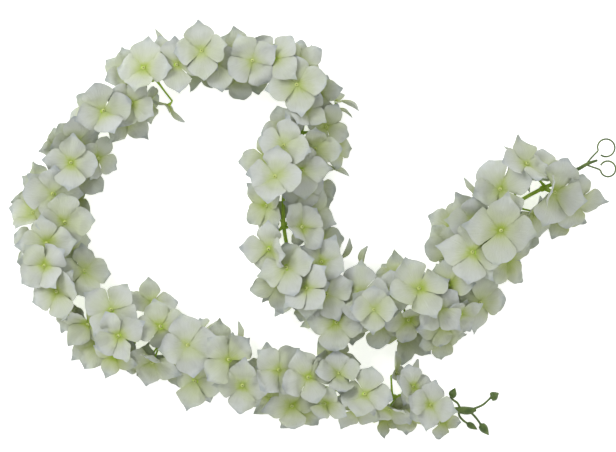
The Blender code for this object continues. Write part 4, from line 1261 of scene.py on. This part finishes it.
def silk_material():
    """Woven silk: yellow-green at the heart, pale along the petal and cooler at the rim."""
    material, tree, shader = new_material("petal_silk", 0.72)
    shader.inputs["Sheen Weight"].default_value = 0.12
    shader.inputs["Sheen Roughness"].default_value = 0.5
    shader.inputs["Specular IOR Level"].default_value = 0.25
    place = tree.nodes.new("ShaderNodeAttribute")
    place.attribute_name = "petal_map"
    split = tree.nodes.new("ShaderNodeSeparateXYZ")
    tree.links.new(place.outputs["Vector"], split.inputs[0])
    u, w, shade_and_tone = split.outputs[0], split.outputs[1], split.outputs[2]
    spot = tree.nodes.new("ShaderNodeTexCoord")
    blotch = noise_node(tree, spot.outputs["Object"], 55.0, 2.0)
    streak_vector = tree.nodes.new("ShaderNodeCombineXYZ")
    tree.links.new(math_node(tree, "MULTIPLY", u, 2.2), streak_vector.inputs[0])
    fan = math_node(tree, "DIVIDE", w, math_node(tree, "ADD", u, 0.25))
    tree.links.new(math_node(tree, "MULTIPLY", fan, 16.0), streak_vector.inputs[1])
    tree.links.new(math_node(tree, "MULTIPLY", shade_and_tone, 40.0), streak_vector.inputs[2])
    streak = noise_node(tree, streak_vector.outputs[0], 1.6, 3.0)
    reach = u
    for cloud, swing in ((blotch, 0.42), (streak, 0.16)):
        shift = math_node(tree, "MULTIPLY", math_node(tree, "SUBTRACT", cloud, 0.5), swing)
        reach = math_node(tree, "ADD", reach, shift)
    # painted shade: the third value of petal_map mixes the lit colours towards the darker, greener
    # shaded ones for petals on lower layers, with some tone that differs at random
    lit_silk = ramp_node(tree, reach, SILK_LIT)
    shaded_silk = ramp_node(tree, reach, SILK_SHADED)
    silk = mix_colour(tree, shade_and_tone, lit_silk, shaded_silk)
    patch = ramp_node(tree, noise_node(tree, spot.outputs["Object"], 34.0, 2.0), PATCHES)
    silk = mix_colour(tree, patch, silk, PATCH_TINT)
    light = math_node(tree, "ADD", math_node(tree, "MULTIPLY", streak, 0.16), 0.92)
    grey = tree.nodes.new("ShaderNodeCombineColor")
    for socket in grey.inputs[:3]:
        tree.links.new(light, socket)
    silk = mix_colour(tree, 1.0, silk, grey.outputs[0], "MULTIPLY")
    tree.links.new(silk, shader.inputs["Base Color"])
    turns = [math_node(tree, "MULTIPLY", way, math.tau * THREADS) for way in (u, w)]
    weave = math_node(tree, "MULTIPLY", *[math_node(tree, "SINE", turn) for turn in turns])
    height = math_node(tree, "ADD", math_node(tree, "MULTIPLY", weave, 0.08), streak)
    bump_node(tree, height, 0.6, 0.0014, shader)
    return material


def plastic_material(name, low, high, roughness, grain):
    """Moulded plastic, a little darker and lighter in places, with a fine grain."""
    material, tree, shader = new_material(name, roughness)
    spot = tree.nodes.new("ShaderNodeTexCoord")
    cloud = noise_node(tree, spot.outputs["Object"], 120.0, 3.0)
    tree.links.new(ramp_node(tree, cloud, ((0.34, low), (0.66, high))), shader.inputs["Base Color"])
    fine = noise_node(tree, spot.outputs["Object"], grain, 2.0)
    bump_node(tree, fine, 0.3, 0.0003, shader)
    return material


class Cloth:
    """The silk of every sprig while it is made, with the space that its petals take."""

    def __init__(self, groups):
        self.meshes = []
        self.trees = []
        self.add_stem()
        for group in groups:
            bm = bmesh.new()
            layer = bm.verts.layers.float_vector.new("petal_map")
            self.meshes.append((bm, layer))
            for floret in group:
                self.add_front(bm, layer, floret)
        for x, y, half, _ in OPEN_PLACES:
            wide = half * GRID * OPEN_ROOM
            self.add_rod(grid_point(x, y, 0.0), grid_point(x, y, OPEN_TOP), wide, OPEN_TOP)

    def add_stem(self):
        """The stem and its sleeves as short rods that the petals keep clear of."""
        count = int(ROUTE.length / STEM_PIECE)
        stops = [ROUTE.point(ROUTE.length * k / count) for k in range(count + 1)]
        for foot, top in zip(stops, stops[1:]):
            self.add_rod(foot, top, STEM_ROOM, STEM_PIECE)

    def add_rod(self, foot, top, radius, size):
        """A rod that petals keep clear of, and how far from its middle it counts."""
        tree = BVHTree.FromPolygons(*rod(foot, top, radius, radius))
        self.trees.append(((foot + top) / 2.0, size, tree))

    def near(self, floret, reach):
        """The trees of the shapes that lie close enough to touch the floret's petals."""
        reach *= floret.length
        here = floret.centre
        return [tree for place, size, tree in self.trees if (place - here).length < size + reach]

    def add_front(self, bm, layer, floret):
        """The four petals of a floret, calmed down where they would cross another floret's."""
        draw = random.Random(FRONT_SEED + floret.number)
        # painted shade by the floret's layer, with tone that differs at random
        shade_and_tone = LAYER_PAINTED_SHADE[floret.layer] + draw.uniform(-0.16, 0.16)
        near = self.near(floret, FRONT_REACH)
        for i in range(4):
            seed = draw.random()
            form = front_form(floret, i)
            for k in range(FRONT_TRIES):
                corner = petal_corners(floret, form, random.Random(seed + k), 1.0 - CALMER * k)
                tree = petal_trial(corner)
                if not any(tree.overlap(other) for other in near):
                    break
            add_petal(bm, layer, corner, shade(shade_and_tone + draw.uniform(-0.08, 0.08)))
            self.trees.append((floret.centre, floret.length * FRONT_REACH, tree))

    def add_back(self, number, floret):
        """Second-layer petals where there is clear space for them."""
        bm, layer = self.meshes[number]
        draw = random.Random(BACK_SEED + floret.number)
        # painted shade: second-layer petals lie under the first and are drawn further towards the
        # shaded colours
        shade_and_tone = LAYER_PAINTED_SHADE[floret.layer] + 0.35
        near = self.near(floret, BACK_REACH)
        for i in range(4):
            for _ in range(BACK_TRIES):
                corner = petal_corners(floret, back_form(floret, i, draw), draw)
                tree = petal_trial(corner)
                if any(tree.overlap(other) for other in near):
                    continue
                add_petal(bm, layer, corner, shade(shade_and_tone + draw.uniform(-0.1, 0.1)))
                near.append(tree)
                self.trees.append((floret.centre, floret.length * BACK_SIZE, tree))
                break


def build_florets(groups, silk):
    """The silk petals of every sprig, a piece for each sprig."""
    cloth = Cloth(groups)
    for number, group in enumerate(groups):
        for floret in group:
            if floret.layer != "e":
                cloth.add_back(number, floret)
    for number, (bm, _) in enumerate(cloth.meshes, 1):
        obj = finish_mesh(f"petals_{number:02d}", bm, [silk], 55.0)
        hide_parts(f"sprig_{number:02d}")


def build_mouldings(number, group, s, green, head, dot):
    """The sleeve, pedicels, calyxes and pin heads of one sprig, moulded in one."""
    bm = bmesh.new()
    centre, axis, _, _ = sleeve_frame(s)
    places = [centre + axis * (SLEEVE_LENGTH * t) for t, _ in SLEEVE_PROFILE]
    add_tube(bm, places, [r for _, r in SLEEVE_PROFILE], 12)
    for floret in group:
        add_stalk(bm, floret)
        size = heart_size(floret)
        top = floret.centre + floret.normal * 0.0004
        for face in add_dome(bm, top, floret.normal, HEAD_RADIUS * size, HEAD_FLATNESS, 10, 6):
            face.material_index = 1
        top += floret.normal * (HEAD_RADIUS * size * HEAD_FLATNESS)
        # painted shade: a dark dot on the pin head where the peg hole's shade falls
        for face in add_dome(bm, top, floret.normal, DOT_RADIUS, 0.7, 8, 4):
            face.material_index = 2
    obj = finish_mesh(f"mouldings_{number:02d}", bm, [green, head, dot], 60.0)
    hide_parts(f"sprig_{number:02d}")


def build_stem(green):
    """The garland's long stem as a smooth round tube."""
    bm = bmesh.new()
    count = int(ROUTE.length / 0.004)
    stops = [ROUTE.length * k / count for k in range(count + 1)]
    add_tube(bm, [ROUTE.point(s) for s in stops], [STEM_RADIUS] * len(stops), 12)
    obj = finish_mesh("stem_finished", bm, [green], 60.0)
    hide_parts("main_stem")


def build_spray(name, node, tubes, green, steps, sides):
    """A spray's tubes drawn out smoothly, with more sides and rings than the solid."""
    bm = bmesh.new()
    for points, radii in tubes:
        fine = smooth_route(points, steps)
        sizes = [v.x for v in smooth_route([Vector((r, 0.0, 0.0)) for r in radii], steps)]
        full = [max(r, LEAST_RADIUS) + FULLER * max(r - SWELL_FROM, 0.0) for r in sizes]
        add_tube(bm, fine, full, sides)
    obj = finish_mesh(name, bm, [green], 60.0)
    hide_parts(node)


def floor_material():
    """Pale paper that glows a little, as a floor lit from all sides."""
    material, tree, shader = new_material("floor_paper", 0.9)
    shader.inputs["Emission Color"].default_value = (1.0, 1.0, 1.0, 1.0)
    shader.inputs["Emission Strength"].default_value = FLOOR_GLOW
    spot = tree.nodes.new("ShaderNodeTexCoord")
    cloud = noise_node(tree, spot.outputs["Object"], 3.0, 2.0)
    tree.links.new(ramp_node(tree, cloud, FLOOR_PAPER), shader.inputs["Base Color"])
    return material


def build_floor():
    """A plain pale floor, far wider than the garland."""
    bm = bmesh.new()
    bmesh.ops.create_grid(bm, x_segments=1, y_segments=1, size=FLOOR_SIZE)
    mesh = bpy.data.meshes.new("floor")
    bm.to_mesh(mesh)
    bm.free()
    mesh.materials.append(floor_material())
    floor = add_object("floor", mesh)


def build_light():
    """An even studio sky and one broad soft lamp above and to the left."""
    world = bpy.data.worlds.new("studio")
    bpy.context.scene.world = world
    world.use_nodes = True
    sky = world.node_tree.nodes["Background"]
    sky.inputs["Color"].default_value = (1.0, 1.0, 1.0, 1.0)
    sky.inputs["Strength"].default_value = SKY_STRENGTH
    lamp = bpy.data.lights.new("softbox", "AREA")
    lamp.shape = "DISK"
    lamp.size = LAMP_SIZE
    lamp.energy = LAMP_POWER
    holder = add_object("softbox", lamp)
    holder.location = LAMP_PLACE
    aim = Vector((0.0, 0.0, 0.0)) - holder.location
    holder.rotation_euler = aim.to_track_quat("-Z", "Y").to_euler()


def build_camera():
    """A camera straight above the garland, in the photograph's framing."""
    camera = bpy.data.cameras.new("camera")
    camera.lens = CAMERA_LENS
    camera.sensor_width = CAMERA_SENSOR
    camera.clip_end = 20.0
    holder = add_object("camera", camera)
    away = 0.5 * IMAGE_WIDTH * GRID * CAMERA_LENS / (CAMERA_SENSOR / 2.0)
    holder.location = (-SHIFT_X, -SHIFT_Y, CAMERA_LEVEL + away)
    bpy.context.scene.camera = holder


silk = silk_material()
green = plastic_material("stem_plastic", (0.28, 0.46, 0.02), (0.44, 0.62, 0.07), 0.45, 900.0)
head = plastic_material("pin_head_plastic", (0.42, 0.49, 0.12), (0.54, 0.60, 0.22), 0.5, 1500.0)
# painted shade: the dark dot material stands for the shade in each pin's peg hole
dot = plastic_material("pin_hole_painted_shade", (0.07, 0.14, 0.02), (0.12, 0.20, 0.03), 0.5, 1500.0)
bud = plastic_material("bud_plastic", (0.045, 0.092, 0.010), (0.105, 0.165, 0.025), 0.45, 900.0)

groups, stations = lay_out()
build_stem(green)
build_florets(groups, silk)
for number, (group, s) in enumerate(zip(groups, stations), 1):
    build_mouldings(number, group, s, green, head, dot)
build_spray("buds_finished", "bud_spray", bud_tubes(), bud, 4, 12)
build_spray("tendrils_finished", "tendril_spray", tendril_tubes(), bud, 3, 8)
build_floor()
build_light()
build_camera()
bpy.context.scene.view_settings.view_transform = "Standard"
